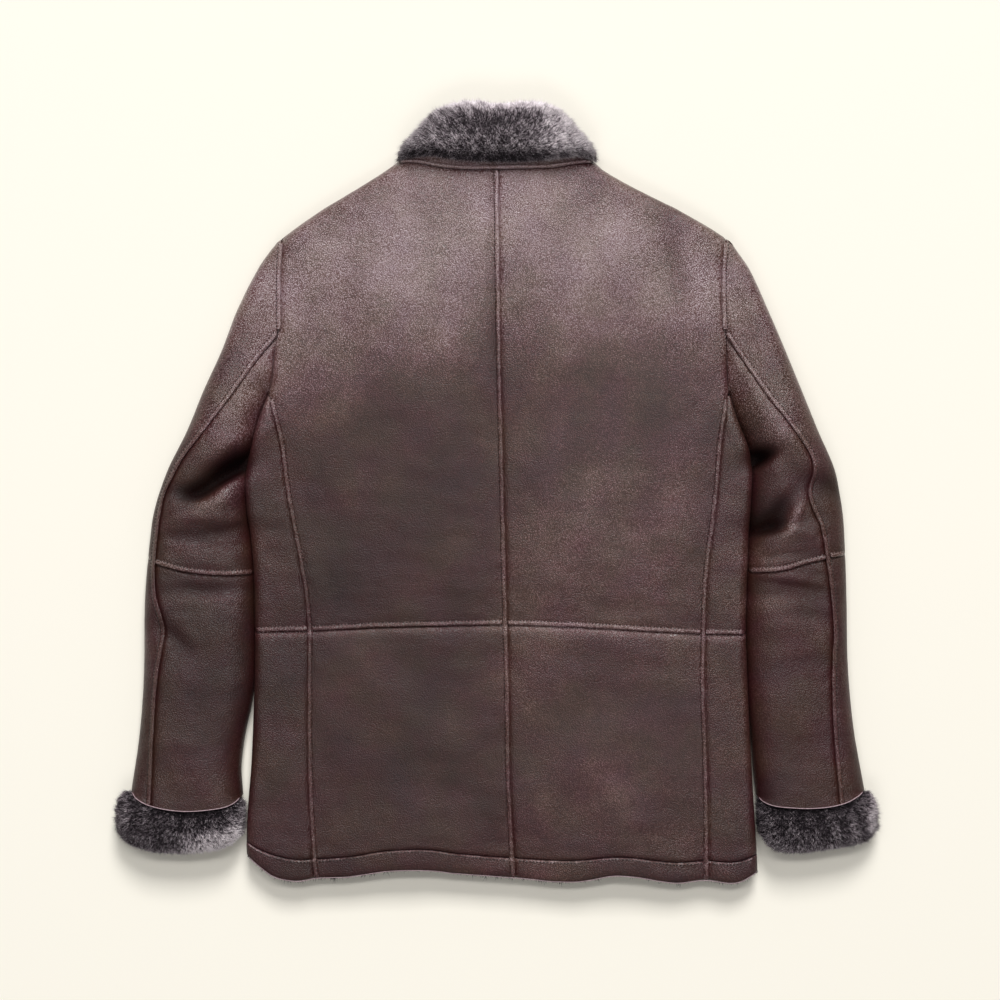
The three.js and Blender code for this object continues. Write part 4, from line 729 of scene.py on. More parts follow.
def bodyPieces(s):
    # panels of one side of the body, each between its own cut lines
    waistEdge, waistSeamAt = meet(s.edgeX, waistY, -145), meet(s.seamX, waistY, -143)
    hemSideAt, hemSeamAt, hemCentre = (meet(f, hemTopY, -380) for f in (s.edgeX, s.seamX, centreX))
    cutEdgeAt, cutSeamAt, cutCentre = (meet(f, hemCutY, -400) for f in (s.edgeX, s.seamX, centreX))
    neckCentre, waistCentre = meet(centreX, neckY, 341), meet(centreX, waistY, -140)
    centreRole, sideRole = ("lapped" if s.side == "left" else "grooved"), "lapped"
    shoulder = downLine(s.outlineX, outline[0, 0], shoulderPoint)
    armhole = downLine(s.edgeX, shoulderPoint, build["junction"])
    border = np.vstack([shoulder, armhole[1:], downLine(s.seamX, build["junction"], waistSeamAt)])
    seams = {"centre": (centreLine, centreRole), "neck": (neckLine, "grooved"),
             "side": (s.seamLine, sideRole), "sideIn": (s.seamLine, "grooved"),
             "waist": (waistLine, "lapped"), "waistLow": (waistLine, "rolled"),
             "hemLow": (hemLine, "hemFold"), "hemBand": (hemLine, "hemBand"),
             "armhole": (s.armholeSeam, "grooved")}

    above, below = slotSides(lambda x, y: midLevel, s.body.slot)

    def flatPanel(name, node, first, last, top, bottom, size, use):
        u, v = spread(size[0]), spread(size[1], 0.6)
        plan = coons(along(first, v), along(last, v), along(top, u), along(bottom, u), u, v)
        outer = lay(plan, lambda x, y: s.body.top(x, y, [seams[key] for key in use]))
        addWall(f"{name}_{s.side}", f"{node}_{s.side}", outer, lay(plan, above), hide)

    neck = acrossLine(neckY, shoulder[0, 0], centreX(neckCentre))
    waist = acrossLine(waistY, s.seamX(waistSeamAt), centreX(waistCentre))
    band = acrossLine(hemTopY, s.seamX(hemSeamAt), centreX(hemCentre))
    cut = acrossLine(hemCutY, s.seamX(cutSeamAt), centreX(cutCentre))
    flatPanel("backUpper", "back_upper", border, downLine(centreX, neckCentre, waistCentre), neck, waist,
              grids["back"], ("centre", "side", "waist", "neck", "armhole"))
    flatPanel("backLower", "back_lower", downLine(s.seamX, waistSeamAt, hemSeamAt),
              downLine(centreX, waistCentre, hemCentre), waist, band, grids["backLow"],
              ("centre", "side", "waistLow", "hemLow"))
    flatPanel("hemBack", "hem_back", downLine(s.seamX, hemSeamAt, cutSeamAt),
              downLine(centreX, hemCentre, cutCentre), band, cut, grids["hem"],
              ("centre", "side", "hemBand"))

    # the front, hidden below: one plain panel with the outline of the whole back
    u, v = np.linspace(0, 1, grids["front"][0]), spread(grids["front"][1], 0.3)
    first = np.vstack([border, downLine(s.seamX, waistSeamAt, cutSeamAt)[1:]])
    last = downLine(centreX, neckCentre, cutCentre)
    plan = coons(along(first, v), along(last, v), along(neck, u), along(cut, u), u, v)
    addWall(f"front_{s.side}Panel", f"front_{s.side}", lay(plan, s.body.bottom), lay(plan, below), hide)

    def wrapPanel(name, node, y0, y1, seam0, seam1, top, bottom, size, use):
        over, under = (1 - np.cos(np.pi * np.linspace(0, 1, size[0]))) / 2, np.linspace(0, 1, size[2]) ** 2
        v = spread(size[1], 0.6)
        edge, seam = along(downLine(s.edgeX, y0, y1), v), along(downLine(s.seamX, seam0, seam1), v)

        def plans(u):
            return coons(edge, seam, along(top, u), along(bottom, u), u, v)
        upper, lower = plans(over)[:, ::-1], plans(under[1:])
        upperIn = inset(plans(over), build["wall"])[:, ::-1]
        lowerIn = inset(plans(under), build["wall"])[:, 1:]
        outer = wrapped(upper, lower, lambda x, y: s.body.top(x, y, [seams[key] for key in use]),
                        s.body.bottom)
        inner = wrapped(upperIn, lowerIn, above, below)
        addWall(f"{name}_{s.side}", f"{node}_{s.side}", outer, inner, hide)

    j = build["junction"]
    start = np.array([(s.edgeX(j), j), (s.seamX(j), j)]) - (0, seamRoom)
    sideWaist = acrossLine(waistY, s.edgeX(waistEdge), s.seamX(waistSeamAt))
    sideBand = acrossLine(hemTopY, s.edgeX(hemSideAt), s.seamX(hemSeamAt))
    sideCut = acrossLine(hemCutY, s.edgeX(cutEdgeAt), s.seamX(cutSeamAt))
    wrapPanel("sideUpper", "side_upper", j - seamRoom, waistEdge, j - seamRoom, waistSeamAt, start,
              sideWaist, grids["side"], ("sideIn", "waist"))
    wrapPanel("sideLower", "side_lower", waistEdge, hemSideAt, waistSeamAt, hemSeamAt, sideWaist, sideBand,
              grids["sideLow"], ("sideIn", "waistLow", "hemLow"))
    wrapPanel("hemSide", "hem_side", hemSideAt, cutEdgeAt, hemSeamAt, cutSeamAt, sideBand, sideCut,
              grids["sideHem"], ("sideIn", "hemBand"))


def sagging(start, end, sag):  # line from start to end that hangs below the straight one
    t = np.linspace(0, 1, 120)
    return mix(np.array(start), np.array(end), t[:, None]) - np.stack([0 * t, sag(t)], -1)


def sleevePieces(s):
    # upper sleeve and forearm, each cut into an outer and an inner piece along the sleeve seam
    j = build["junction"]
    corner = {"elbowOuter": (float(s.outlineX(elbowOuter[s.side])), elbowOuter[s.side]),
              "elbowInner": (float(s.innerX(elbowInner[s.side])), elbowInner[s.side]),
              "cuffOuter": (float(s.outlineX(sleeveEnd[0])), sleeveEnd[0]),
              "cuffInner": (float(s.innerX(sleeveEnd[1])), sleeveEnd[1])}
    armhole = downLine(s.edgeX, shoulderPoint, j)
    s.elbow = sagging(corner["elbowOuter"], corner["elbowInner"], s.elbowSag)
    s.cuffLine = sagging(corner["cuffOuter"], corner["cuffInner"], s.cuffSag)
    sleeveLine = downLine(s.sleeveSeamX, sleeveSeamTop, -335, 260)
    s.sleeveSeamLine = sleeveLine

    def sleevePlan(outerLine, innerLine, start, end, shares, v):
        # shares: for each row, places across from the outer edge to the inner edge
        outerAt, innerAt = along(outerLine, v)[:, None], along(innerLine, v)[:, None]
        ends = np.stack([along(start, row) for row in shares]) * (1 - v[:, None, None])
        ends = ends + np.stack([along(end, row) for row in shares]) * v[:, None, None]
        part = shares[..., None]
        corners = mix(mix(start[0], start[-1], part), mix(end[0], end[-1], part), v[:, None, None])
        return mix(outerAt, innerAt, part) + ends - corners

    def seamShares(outerLine, innerLine, start, end, v):
        # where each row crosses the sleeve seam
        count = 240
        tries = np.tile(np.linspace(0, 1, count), (len(v), 1))
        plan = sleevePlan(outerLine, innerLine, start, end, tries, v)
        beyond = s.out * (plan[..., 0] - s.sleeveSeamX(plan[..., 1])) > 0
        return tries[0][np.clip(beyond.sum(1), 1, count - 2)] - 0.5 / (count - 1)

    # both hides' pile sides give way where a crease presses the sleeve flat
    above, below = slotSides(lambda x, y: np.minimum(midLevel, s.sleeve.top(x, y) - 4), s.sleeve.slot)

    def section(name, label, outerLine, innerLine, start, end, sizeOuter, sizeInner, use):
        v = spread(sizeOuter[1], 0.5)
        cut = seamShares(outerLine, innerLine, start, end, v)
        if start is armhole:
            run = lengths(armhole)
            cut[0] = np.interp(-sleeveSeamTop, -armhole[:, 1], run) / run[-1]
        hidden = mix(cut, 1, 0.707)  # where the second seam runs, underneath
        width = np.linalg.norm(along(innerLine, v) - along(outerLine, v), axis=-1)[:, None]
        share = np.minimum(build["wall"] / width, 0.3)

        def pieceOf(end0, size, role, tag):
            near = mix(cut[:, None], end0, (1 - np.cos(np.pi * np.linspace(0, 1, size[0]))) / 2)
            under = mix(end0, hidden[:, None], np.linspace(0, 1, size[2])[1:] ** 1.6)
            full = np.concatenate([near, under], 1)
            plan = sleevePlan(outerLine, innerLine, start, end, full, v)
            drawn = sleevePlan(outerLine, innerLine, start, end, full + share * (1 - 2 * full), v)
            n = size[0]
            seams = use + [(sleeveLine, role)]
            outer = wrapped(plan[:, :n], plan[:, n:], lambda x, y: s.sleeve.top(x, y, seams),
                            s.sleeve.bottom)
            inner = wrapped(drawn[:, :n], drawn[:, n:], above, below)
            addWall(f"{name}{tag}_{s.side}", f"sleeve_{label}_{tag.lower()}_{s.side}", outer, inner, hide)

        pieceOf(0.0, sizeOuter, "lapped", "Outer")
        pieceOf(1.0, sizeInner, "grooved", "Inner")

    section("sleeve", "upper", downLine(s.outlineX, shoulderPoint, elbowOuter[s.side]),
            downLine(s.innerX, j, elbowInner[s.side]), armhole, s.elbow, grids["sleeveOuter"],
            grids["sleeveInner"], [(s.armholeSeam, "lapped"), (s.elbow, "lapped")])
    section("forearm", "lower", downLine(s.outlineX, elbowOuter[s.side], sleeveEnd[0]),
            downLine(s.innerX, elbowInner[s.side], sleeveEnd[1]), s.elbow, s.cuffLine, grids["forearmOuter"],
            grids["forearmInner"], [(s.elbow, "rolled")])


for s in coat.values():
    bodyPieces(s)
    print("body panels made:", s.side)
    sleevePieces(s)
    print("sleeve made:", s.side)

# Strips over the seams. The profile runs from the groove beside the strip to its stitched side.
# Columns: offset across the seam, height over the level of the panels
stripProfile = np.array([
    (-2.6, -2.2), (-2.55, -0.4), (-2.2, 0.5), (-1.3, 1.05), (-0.2, 1.1), (1.2, 0.75), (2.2, 0.15),
    (3.0, -0.7), (2.2, -1.7), (-1.2, -2.4)])
rawEdgeProfile = np.array([(-0.45, -0.8), (-0.4, 0.3), (-0.15, 0.6), (0.2, 0.5), (0.45, 0.0), (0.4, -0.8)])
# step: length of a ring. waver: how far a strip strays, in waves of waverSize. grain: its uneven height.
# taper: width left at its ends. the two polish amounts: wear and painted sheen of strips along and across
# the coat;
# across the coat they face the light and take more painted highlight
stripLook = {"step": 2.4, "waver": 0.12, "waverSize": 34, "grain": 0.05, "taper": 0.75, "polish": 0.3,
             "crossPolishAndSheen": 0.5}
# offset, hemOffset: from the middle of a strip and from the hem seam. sink: how far a stitch is pulled in.
# tipDip: how far its ends dip. endRoom: where the hem's row stops short
stitchLook = {"offset": 2.2, "hemOffset": 2.0, "length": 2.4, "pitch": 3.6, "radius": 0.46, "sink": 0.12,
              "tipDip": 0.3, "endRoom": 3.5}
stitchLines = []


def acrossOf(line, toward):  # unit steps across a line, on the side that toward points to
    step = np.gradient(line, axis=0)
    across = np.stack([-step[:, 1], step[:, 0]], -1)
    across /= np.linalg.norm(across, axis=1, keepdims=True)
    return across * np.where(across @ np.array(toward, float) < 0, -1, 1)[:, None]


def shortened(line, start, end, step):  # even points on a line that stops short at both ends
    total = lengths(line)[-1]
    return placesAt(line, np.linspace(start, total - end, int((total - start - end) / step) + 2))


def crossing(line, beyond):  # number of the first point of a line that lies beyond
    return int(np.argmax(beyond(line[:, 0], line[:, 1])))


def tubeFaces(points):  # faces of a closed tube of rings, turned outwards, with its two ends
    rings, sides = points.shape[:2]
    index = np.arange(rings * sides).reshape(rings, sides)
    quads = gridQuads(np.concatenate([index, index[:, :1]], axis=1))
    ends = np.stack([index[0, ::-1], index[-1]])
    flat = points.reshape(-1, 3)
    if signedVolume(flat - flat.mean(0), quads) < 0:
        return [quads[:, ::-1], ends[:, ::-1]]
    return [quads, ends]


def addStrip(name, node, line, toward, level, cuts, profile=stripProfile, material=skin, slot="skin",
             stitched=True, polish=stripLook["polish"]):
    # a profile carried along a seam: each point is moved across in plan, then lifted to the level there
    middle = shortened(line, *cuts, stripLook["step"])
    across = acrossOf(middle, toward)
    narrow = np.ones(len(middle))
    narrow[[0, -1]] = stripLook["taper"]
    waver = stripLook["waver"] * ripple(middle[:, 0], middle[:, 1], stripLook["waverSize"], 8)
    offset = profile[:, 0] * narrow[:, None] + waver[:, None]
    plan = middle[:, None] + across[:, None] * offset[..., None]
    x, y = plan[..., 0], plan[..., 1]
    z = level(x, y) + profile[:, 1] * narrow[:, None] + stripLook["grain"] * ripple(x, y, 5, 9)
    points = np.dstack([plan, np.maximum(z, 0.5)])
    addPiece(name, points.reshape(-1, 3), tubeFaces(points), [material], node, sharp=70, polish=polish)
    if stitched:
        stitchLines.append((middle, across * stitchLook["offset"], level))


def levelOf(part, lines):  # the panels' own level beside these seams, without the seams' dips
    return lambda x, y: part.top(x, y, [(line, "strip") for line in lines])


def seamStrips(s):
    out = s.out
    crossPolishAndSheen = stripLook["crossPolishAndSheen"]

    def strip(name, node, *rest, **more):
        addStrip(f"{name}_{s.side}", f"{node}_{s.side}", *rest, **more)

    body = levelOf(s.body, [s.seamLine, waistLine])
    waistAt = meet(s.seamX, waistY, -143)
    seamX, centreAt = float(s.seamX(waistAt)), float(centreX(-137))
    strip("sideSeamStrip", "welt_side", s.seamLine, (-out, 0), body, (5, 0.6))
    strip("waistStripBack", "welt_waist_back", acrossLine(waistY, seamX, centreAt), (0, 1),
          levelOf(s.body, [s.seamLine, waistLine, centreLine]), (3.1, 3.1), polish=crossPolishAndSheen)
    edgeX = float(s.edgeX(meet(s.edgeX, waistY, -145)))
    strip("waistStripSide", "welt_waist_side", acrossLine(waistY, edgeX, seamX), (0, 1), body, (2.5, 3.1),
          polish=crossPolishAndSheen)

    def armholeLevel(x, y):
        onSleeve = out * (x - s.edgeX(y)) > 0
        lines = [(s.armholeLine, "strip")]
        return np.where(onSleeve, s.sleeve.top(x, y, lines), s.body.top(x, y, lines))
    upper = s.armholeLine[s.armholeLine[:, 1] > sleeveSeamTop - 2]
    strip("armholeStrip", "welt_armhole", upper, (out, 0), armholeLevel, (5, 1.5))

    sleeve = levelOf(s.sleeve, [s.sleeveSeamLine, s.elbow])
    cuffY = through(s.cuffLine[:, 0], s.cuffLine[:, 1])
    cuffAt = crossing(s.sleeveSeamLine, lambda x, y: y < cuffY(x))
    strip("sleeveSeamStrip", "welt_sleeve", s.sleeveSeamLine[:cuffAt + 1], (out, 0), sleeve, (4, 1))
    elbowAt = crossing(s.elbow, lambda x, y: out * (x - s.sleeveSeamX(y)) < 0)
    strip("elbowStripOuter", "welt_elbow_outer", s.elbow[:elbowAt], (0, 1), sleeve, (2.5, 2.6),
          polish=crossPolishAndSheen)
    strip("elbowStripInner", "welt_elbow_inner", s.elbow[elbowAt:], (0, 1), sleeve, (2.6, 3),
          polish=crossPolishAndSheen)
    strip("cuffRawEdge", "cuff_edge", s.cuffLine + (0, 0.7), (0, 1), levelOf(s.sleeve, []), (4, 4),
          rawEdgeProfile, cutEdge, "cut_edge", stitched=False)


for s in coat.values():
    seamStrips(s)
addStrip("centreSeamStrip", "welt_centre", centreLine, (-1, 0),
         levelOf(coat["left"].body, [centreLine, waistLine]), (3.4, 0.6))


def neckLevel(x, y):  # the body's level, carried on up over the collar stand
    y = np.minimum(y, neckY(x) - 0.3)
    return np.where(x < 0, coat["left"].body.top(x, y), coat["right"].body.top(x, y)) + 0.5


pipingProfile = np.array([
    (-2.2, -2.6), (-2.15, -0.3), (-1.7, 0.8), (-0.8, 1.4), (0.1, 1.4), (0.9, 0.9), (1.5, 0), (1.9, -1.4)])
addStrip("neckStrip", "welt_neck", neckLine, (0, 1), neckLevel, (3, 3), pipingProfile, stitched=False)
print("seam strips made")


def addStitches(name, lines, look):
    # small pointed rods, two rings of four and a tip at each end, laid along the stitch lines
    starts, ends = [], []
    for middle, aside, level in lines:
        row = middle + aside
        at = np.arange(look["pitch"] / 2, lengths(row)[-1] - look["pitch"] / 2, look["pitch"])
        for places, shift in ((starts, -0.5), (ends, 0.5)):
            x, y = placesAt(row, at + shift * look["length"]).T
            places.append(np.stack([x, y, level(x, y) + look["radius"] - look["sink"]], -1))
    start, end = np.concatenate(starts), np.concatenate(ends)
    direction = (end - start) / np.linalg.norm(end - start, axis=1, keepdims=True)
    sideways = np.cross(direction, (0, 0, 1))
    turns = [(sideways, 1), ((0, 0, 1), 1), (sideways, -1), ((0, 0, 1), -1)]
    rings = [mix(start, end, share) + look["radius"] * sign * np.asarray(step)
             for share in (0.2, 0.8) for step, sign in turns]
    dip = (0, 0, look["tipDip"])
    points = np.stack([start - dip, *rings, end - dip], axis=1)
    base = np.arange(len(start))[:, None] * 10
    tips = [(0, 1 + i, 1 + (i + 1) % 4) for i in range(4)] + [(9, 5 + (i + 1) % 4, 5 + i) for i in range(4)]
    bands = [(1 + i, 5 + i, 5 + (i + 1) % 4, 1 + (i + 1) % 4) for i in range(4)]
    faces = [(base[:, None] + np.array(part)).reshape(-1, len(part[0])) for part in (tips, bands)]
    if np.dot(np.cross(points[0, 1] - points[0, 0], points[0, 2] - points[0, 0]), direction[0]) > 0:
        faces = [part[:, ::-1] for part in faces]
    addPiece(name, points.reshape(-1, 3), faces, [thread])


for s in coat.values():
    hemX = float(s.seamX(meet(s.seamX, hemTopY, -386)))
    for x0, x1 in ((float(s.edgeX(meet(s.edgeX, hemTopY, -375))), hemX), (hemX, float(centreX(-384)))):
        room = stitchLook["endRoom"]
        middle = shortened(acrossLine(hemTopY, x0, x1), room, room, stripLook["step"])
        stitchLines.append((middle, acrossOf(middle, (0, -1)) * stitchLook["hemOffset"],
                            lambda x, y, s=s: s.body.top(x, y, [(hemLine, "hemBand")])))
addStitches("seamStitches", stitchLines, stitchLook)
print("stitches made")

# Fur: a dark woolly base, and fine pointed hairs that stand from it out to the solid's own surface. Real
# hairs are many times finer, and are drawn coarser and fewer so that they show.
# base: share of the pile's depth that is woolly base. under: how thickly hairs stand underneath.
# lock: width of a lock, with how far its hairs gather, lean, differ in height and differ in silver.
# long, short, wisp: reach of a hair as a share of the pile, and how many stand past it, by how many mm.
# cone: how much shorter a lock is at its border, with painted shade in the gaps between locks. tuft: waves
# of the whole pile's height
furLook = {"count": 38000, "base": 0.42, "rootSink": 0.06, "radius": 0.26, "under": 0.12, "floor": 0.4,
           "lock": 2.4, "gather": 0.36, "lockLean": 1.3, "lockHeight": 0.25, "lockShade": 0.7,
           "hairLean": 1.6, "hairShade": 0.28, "long": 1.06, "short": 0.7, "wisp": 0.25, "wispReach": 5.5,
           "wispShade": 0.1, "cone": 0.42, "coneShade": 0.42, "tuft": 0.08, "tuftSize": 11}
# level: height of the outer edge's widest point, and how far the roundings reach in over and under it.
# innerOver: the same over the inner edge. end: the same at the seam and the mouth. lip, rise: thickness
# at the mouth and how far it is lifted. depth, drawn: shares by which the inside stops short of the mouth
# and of both sides. hidden: where the ring closes underneath. round, down: points of the grid
cuffEdge = {"over": 24, "under": 14, "level": 19, "innerOver": 26, "end": 14, "lip": 3, "rise": 7,
            "riseReach": 30, "depth": 0.13, "drawn": 0.105, "hidden": 0.62, "round": (66, 16), "down": 34}
# reach, edgeReach, foldReach: roundings at the sides, the lower edge and the fold, with the thickness left
# there in lip and foldLip. close: where the stand ends, under the fold. depth: how far the base stops
# short of the fold. sagReach: how far up the lower edge's bend is felt. standStart, standRise: where the
# stand begins to rise and over what length. drawn: share by which its inside stops short of both sides.
# dip: the stand beside the neck's piping. clearance, closeHalf, closeRoom: room between the stand and the
# fall, and half the height and the room left over the stand's end. hidden, round, down: as for the cuffs
collarEdge = {"reach": 24, "lip": 3, "edgeReach": 14, "foldReach": 22, "close": 393, "depth": 9,
              "foldLip": 1.2, "sagReach": 42, "standStart": 341, "standRise": 24, "drawn": 12 / 170,
              "dip": 2.4, "dipStart": 1.9, "dipReach": 6, "clearance": 0.36, "closeHalf": 0.65,
              "closeRoom": 0.45, "hidden": 0.5, "round": (110, 40), "down": 40}


def ringShares(hidden, over, under):  # shares across, round a tube from a line hidden underneath
    top = (1 - np.cos(np.pi * np.linspace(0, 1, over))) / 2
    down = np.linspace(0, 1, under + 1)[1:] ** 1.6
    u = np.concatenate([(hidden * down)[::-1], top, mix(1, hidden, down)])
    return u, np.repeat([True, False, True], [under, over, under])


def ringGrid(plan, isUnder, top, bottom):
    x, y = plan[..., 0], plan[..., 1]
    return np.dstack([plan, np.where(isUnder[None], bottom(x, y), top(x, y))])


def resampled(rows, rowAt, at):  # rows of a grid, moved along to other places down it
    i = np.clip(np.searchsorted(rowAt, at, side="right") - 1, 0, len(rowAt) - 2)
    return mix(rows[i], rows[i + 1], ((at - rowAt[i]) / (rowAt[i + 1] - rowAt[i]))[:, None, None])


def onGrid(grid, u, v):  # places of a grid at shares across and down
    rows, columns = grid.shape[:2]
    a, b = np.clip(u * (columns - 1), 0, columns - 1.001), np.clip(v * (rows - 1), 0, rows - 1.001)
    i, j = a.astype(int), b.astype(int)
    a, b = (a - i)[:, None], (b - j)[:, None]
    return mix(mix(grid[j, i], grid[j, i + 1], a), mix(grid[j + 1, i], grid[j + 1, i + 1], a), b)


def lockOf(points, size, seed):  # the nearest of jittered cell centres, and four numbers of its own
    table = np.random.default_rng(seed).random((4096, 7))
    cell = np.floor(points / size).astype(int)
    best, centre, own = np.full(len(points), 1e9), np.zeros_like(points), np.zeros((len(points), 4))
    for step in np.ndindex(3, 3, 3):
        near = cell + np.array(step) - 1
        mark = table[near @ np.array([73, 157, 311]) % 4096]
        place = (near + mark[:, :3]) * size
        d = np.linalg.norm(points - place, axis=1)
        closer = (d < best)[:, None]
        best = np.where(closer[:, 0], d, best)
        centre, own = np.where(closer, place, centre), np.where(closer, mark[:, 3:], own)
    return centre, own


def spikeFaces(count):  # faces of closed three-sided spikes, four points each
    base = 4 * np.arange(count)[:, None, None]
    return (base + np.array([(0, 1, 3), (1, 2, 3), (2, 0, 3), (0, 2, 1)])[None]).reshape(-1, 3)


def flattened(steps, axis):  # what is left of steps once their part along an axis is taken out
    return steps - axis * np.einsum("ij,ij->i", steps, axis)[:, None]


def addHairs(name, node, outer, inner, isUnder, seed, silverAndLightAt, flowAt, look):
    # hairs of three sides: root on the base, tip near the solid's surface, drawn to the middle of its lock
    count = look["count"]
    pick = np.random.default_rng(seed)
    area = cellAreas(outer) * np.where(isUnder[None, 1:] & isUnder[None, :-1], look["under"], 1)
    share = np.cumsum(area.ravel()) / area.sum()
    cell = np.minimum(np.searchsorted(share, pick.random(count)), area.size - 1)
    rows, columns = area.shape
    u = (cell % columns + pick.random(count)) / columns
    v = (cell // columns + pick.random(count)) / rows
    skinSide, tip = onGrid(mix(outer, inner, look["base"] + look["rootSink"]), u, v), onGrid(outer, u, v)
    outwards = tip - skinSide
    height = np.linalg.norm(outwards, axis=1, keepdims=True)
    outwards = outwards / (height + 1e-9)
    centre, own = lockOf(tip, look["lock"], seed)
    pull = flattened(centre - tip, outwards)
    lean = (own[:, :3] - 0.5) * 2 * look["lockLean"] + pick.normal(0, 0.5, (count, 3)) * look["hairLean"]
    lean = flattened(lean, outwards)
    border = np.clip(np.linalg.norm(pull, axis=1) / (0.6 * look["lock"]), 0, 1) ** 2
    reach = mix(look["short"], look["long"], pick.random(count) ** 0.6)
    reach = reach * (1 - look["lockHeight"] * (1 - own[:, 3]) ** 2) * (1 - look["cone"] * border)
    reach = reach + look["tuft"] * ripple(tip[:, 0], tip[:, 1], look["tuftSize"], 17)
    wisp = pick.random(count) < look["wisp"]
    reach = reach + wisp * pick.random(count) ** 2 * look["wispReach"] / np.maximum(height[:, 0], 2)
    flow = flowAt(tip[:, 0], tip[:, 1])
    tip = skinSide + outwards * height * reach[:, None]
    tip = tip + (pull * look["gather"] + lean) * np.minimum(height / 7, 1)
    tip = tip + flow * pick.uniform(0.4, 1.1, count)[:, None]
    tip[:, 2] = np.maximum(tip[:, 2], look["floor"])
    side = np.cross(outwards, pick.normal(0, 1, (count, 3)))
    side /= np.linalg.norm(side, axis=1, keepdims=True)
    other = np.cross(outwards, side)
    radius = look["radius"] * (pick.uniform(0.75, 1.3, count) - 0.35 * wisp)[:, None]
    turns = 2 * np.pi / 3 * np.arange(3)
    roots = [skinSide + radius * (np.cos(turn) * side + np.sin(turn) * other) for turn in turns]
    points = np.stack([*roots, tip], axis=1)
    points[..., 2] = np.maximum(points[..., 2], look["floor"])
    piece = addPiece(name, points.reshape(-1, 3), [spikeFaces(count)], [pile], node, sharp=180)
    # the tips' own silvering and lock and hair tone, with the region's painted light and shade and painted
    # shade at lock borders
    silverAndLight = silverAndLightAt(tip[:, 0], tip[:, 1]) + look["lockShade"] * (own[:, 3] - 0.5) ** 3 * 4
    silverAndLight = silverAndLight + pick.normal(0, look["hairShade"], count) + look["wispShade"] * wisp
    silverAndLight = silverAndLight - look["coneShade"] * (border - 0.4)
    for key, values in (("along", np.tile([0.0, 0.0, 0.0, 1.0], count)), ("silverAndLight", np.repeat(silverAndLight, 4))):
        layer = piece.data.attributes.new(key, "FLOAT", "POINT")
        layer.data.foreach_set("value", values.astype(np.float32))


# Soft patches of paler or darker fur; the pale ones on the cuffs are painted light. Columns: x, y, half
# width, half height, amount
furPatches = {"left": [(-272, -340, 12, 24, 0.3), (-398, -345, 7, 14, 0.16)],
              "right": [(397, -335, 9, 22, 0.6)],
              "collar": [(-20, 386, 40, 14, -0.3), (30, 392, 22, 9, -0.16)]}


def patchesAt(x, y, table):
    return sum(amount * np.exp(-((x - cx) / wide) ** 2 - ((y - cy) / high) ** 2)
               for cx, cy, wide, high, amount in table)


def cuff(s):
    # turned-back end of the sleeve: one ring of hide, fur side out, closed to its lip at the mouth
    look = cuffEdge
    shape = cuffSides[s.side]
    outerSide, lowerEdge, innerSide = (splineThrough(shape[key]) for key in ("outer", "lower", "inner"))
    start = s.cuffLine - (0, seamRoom)
    v = spread(look["down"], 0.6)
    u, isUnder = ringShares(look["hidden"], *look["round"])
    drawn = u + look["drawn"] * (1 - 2 * u)

    def planAt(u):
        return coons(along(outerSide, v), along(innerSide, v), along(start, u), along(lowerEdge, u), u, v)

    def slotAt(x, y):
        return midLevel + look["rise"] * smooth(lineDistance(s.cuffLine, x, y) / look["riseReach"])

    def top(x, y):
        below = smooth(lineDistance(s.cuffLine, x, y) / look["end"])
        crown = mix(build["sleeveHeight"] + 1, build["cuffHeight"], below)
        lip = slotAt(x, y) + build["slot"] / 2 + look["lip"]
        sides = (crown - look["level"]) * edgeDrop(outerSide, x, y, look["over"])
        sides += (crown - sleeveInnerEdge["level"]) * edgeDrop(innerSide, x, y, look["innerOver"])
        raised = crown - sides
        return mix(np.minimum(lip, raised), raised, rounding(lineDistance(lowerEdge, x, y), look["end"]))

    def bottom(x, y):
        lip = slotAt(x, y) - build["slot"] / 2 - look["lip"]
        sides = look["level"] * edgeDrop(outerSide, x, y, look["under"])
        sides += sleeveInnerEdge["level"] * edgeDrop(innerSide, x, y, sleeveInnerEdge["under"])
        return mix(np.maximum(lip, sides), sides, rounding(lineDistance(lowerEdge, x, y), look["end"]))

    outer = ringGrid(planAt(u), isUnder, top, bottom)
    # the base stops short of the mouth, so that hairs there are as long as elsewhere
    innerPlan = resampled(planAt(drawn), v, v * (1 - look["depth"]))
    inner = ringGrid(innerPlan, isUnder, *slotSides(slotAt, partial(slotHalf, (outerSide, innerSide))))

    def silverAndLight(x, y):
        # painted shade just below the sleeve's end, pale along the mouth, painted light in soft patches and
        # on the left cuff's inner half
        below = lineDistance(s.cuffLine, x, y)
        if s.side == "left":
            pale = 0.11 + 0.95 * smooth((x + 350) / 50) * smooth((below - 12) / 22)
        else:
            pale = 0.08 + 0.12 * smooth((below - 10) / 25)
        pale = pale + patchesAt(x, y, furPatches[s.side])
        pale = pale + 0.22 * np.exp(-lineDistance(lowerEdge, x, y) / 4)
        return pale - 0.2 * (1 - smooth((below - 2) / 9)) + 0.08 * ripple(x, y, 16, 11)

    def flow(x, y):  # hairs lean down, hardly where the sleeve ends and most at the cuff's mouth
        near = np.exp(-lineDistance(s.cuffLine, x, y) / 5)
        mouth = np.exp(-lineDistance(lowerEdge, x, y) / 6)
        return np.stack([0 * x, 0.8 * near - 1.0 - 1.6 * mouth, 0 * x], -1)

    node = f"cuff_fur_{s.side}"
    addWall(f"cuffBase_{s.side}", node, mix(outer, inner, furLook["base"]), inner, hide[::-1])
    seed = 21 if s.side == "left" else 22
    addHairs(f"cuffFur_{s.side}", node, outer, inner, isUnder, seed, silverAndLight, flow, furLook)


for s in coat.values():
    cuff(s)
print("fur cuffs made")


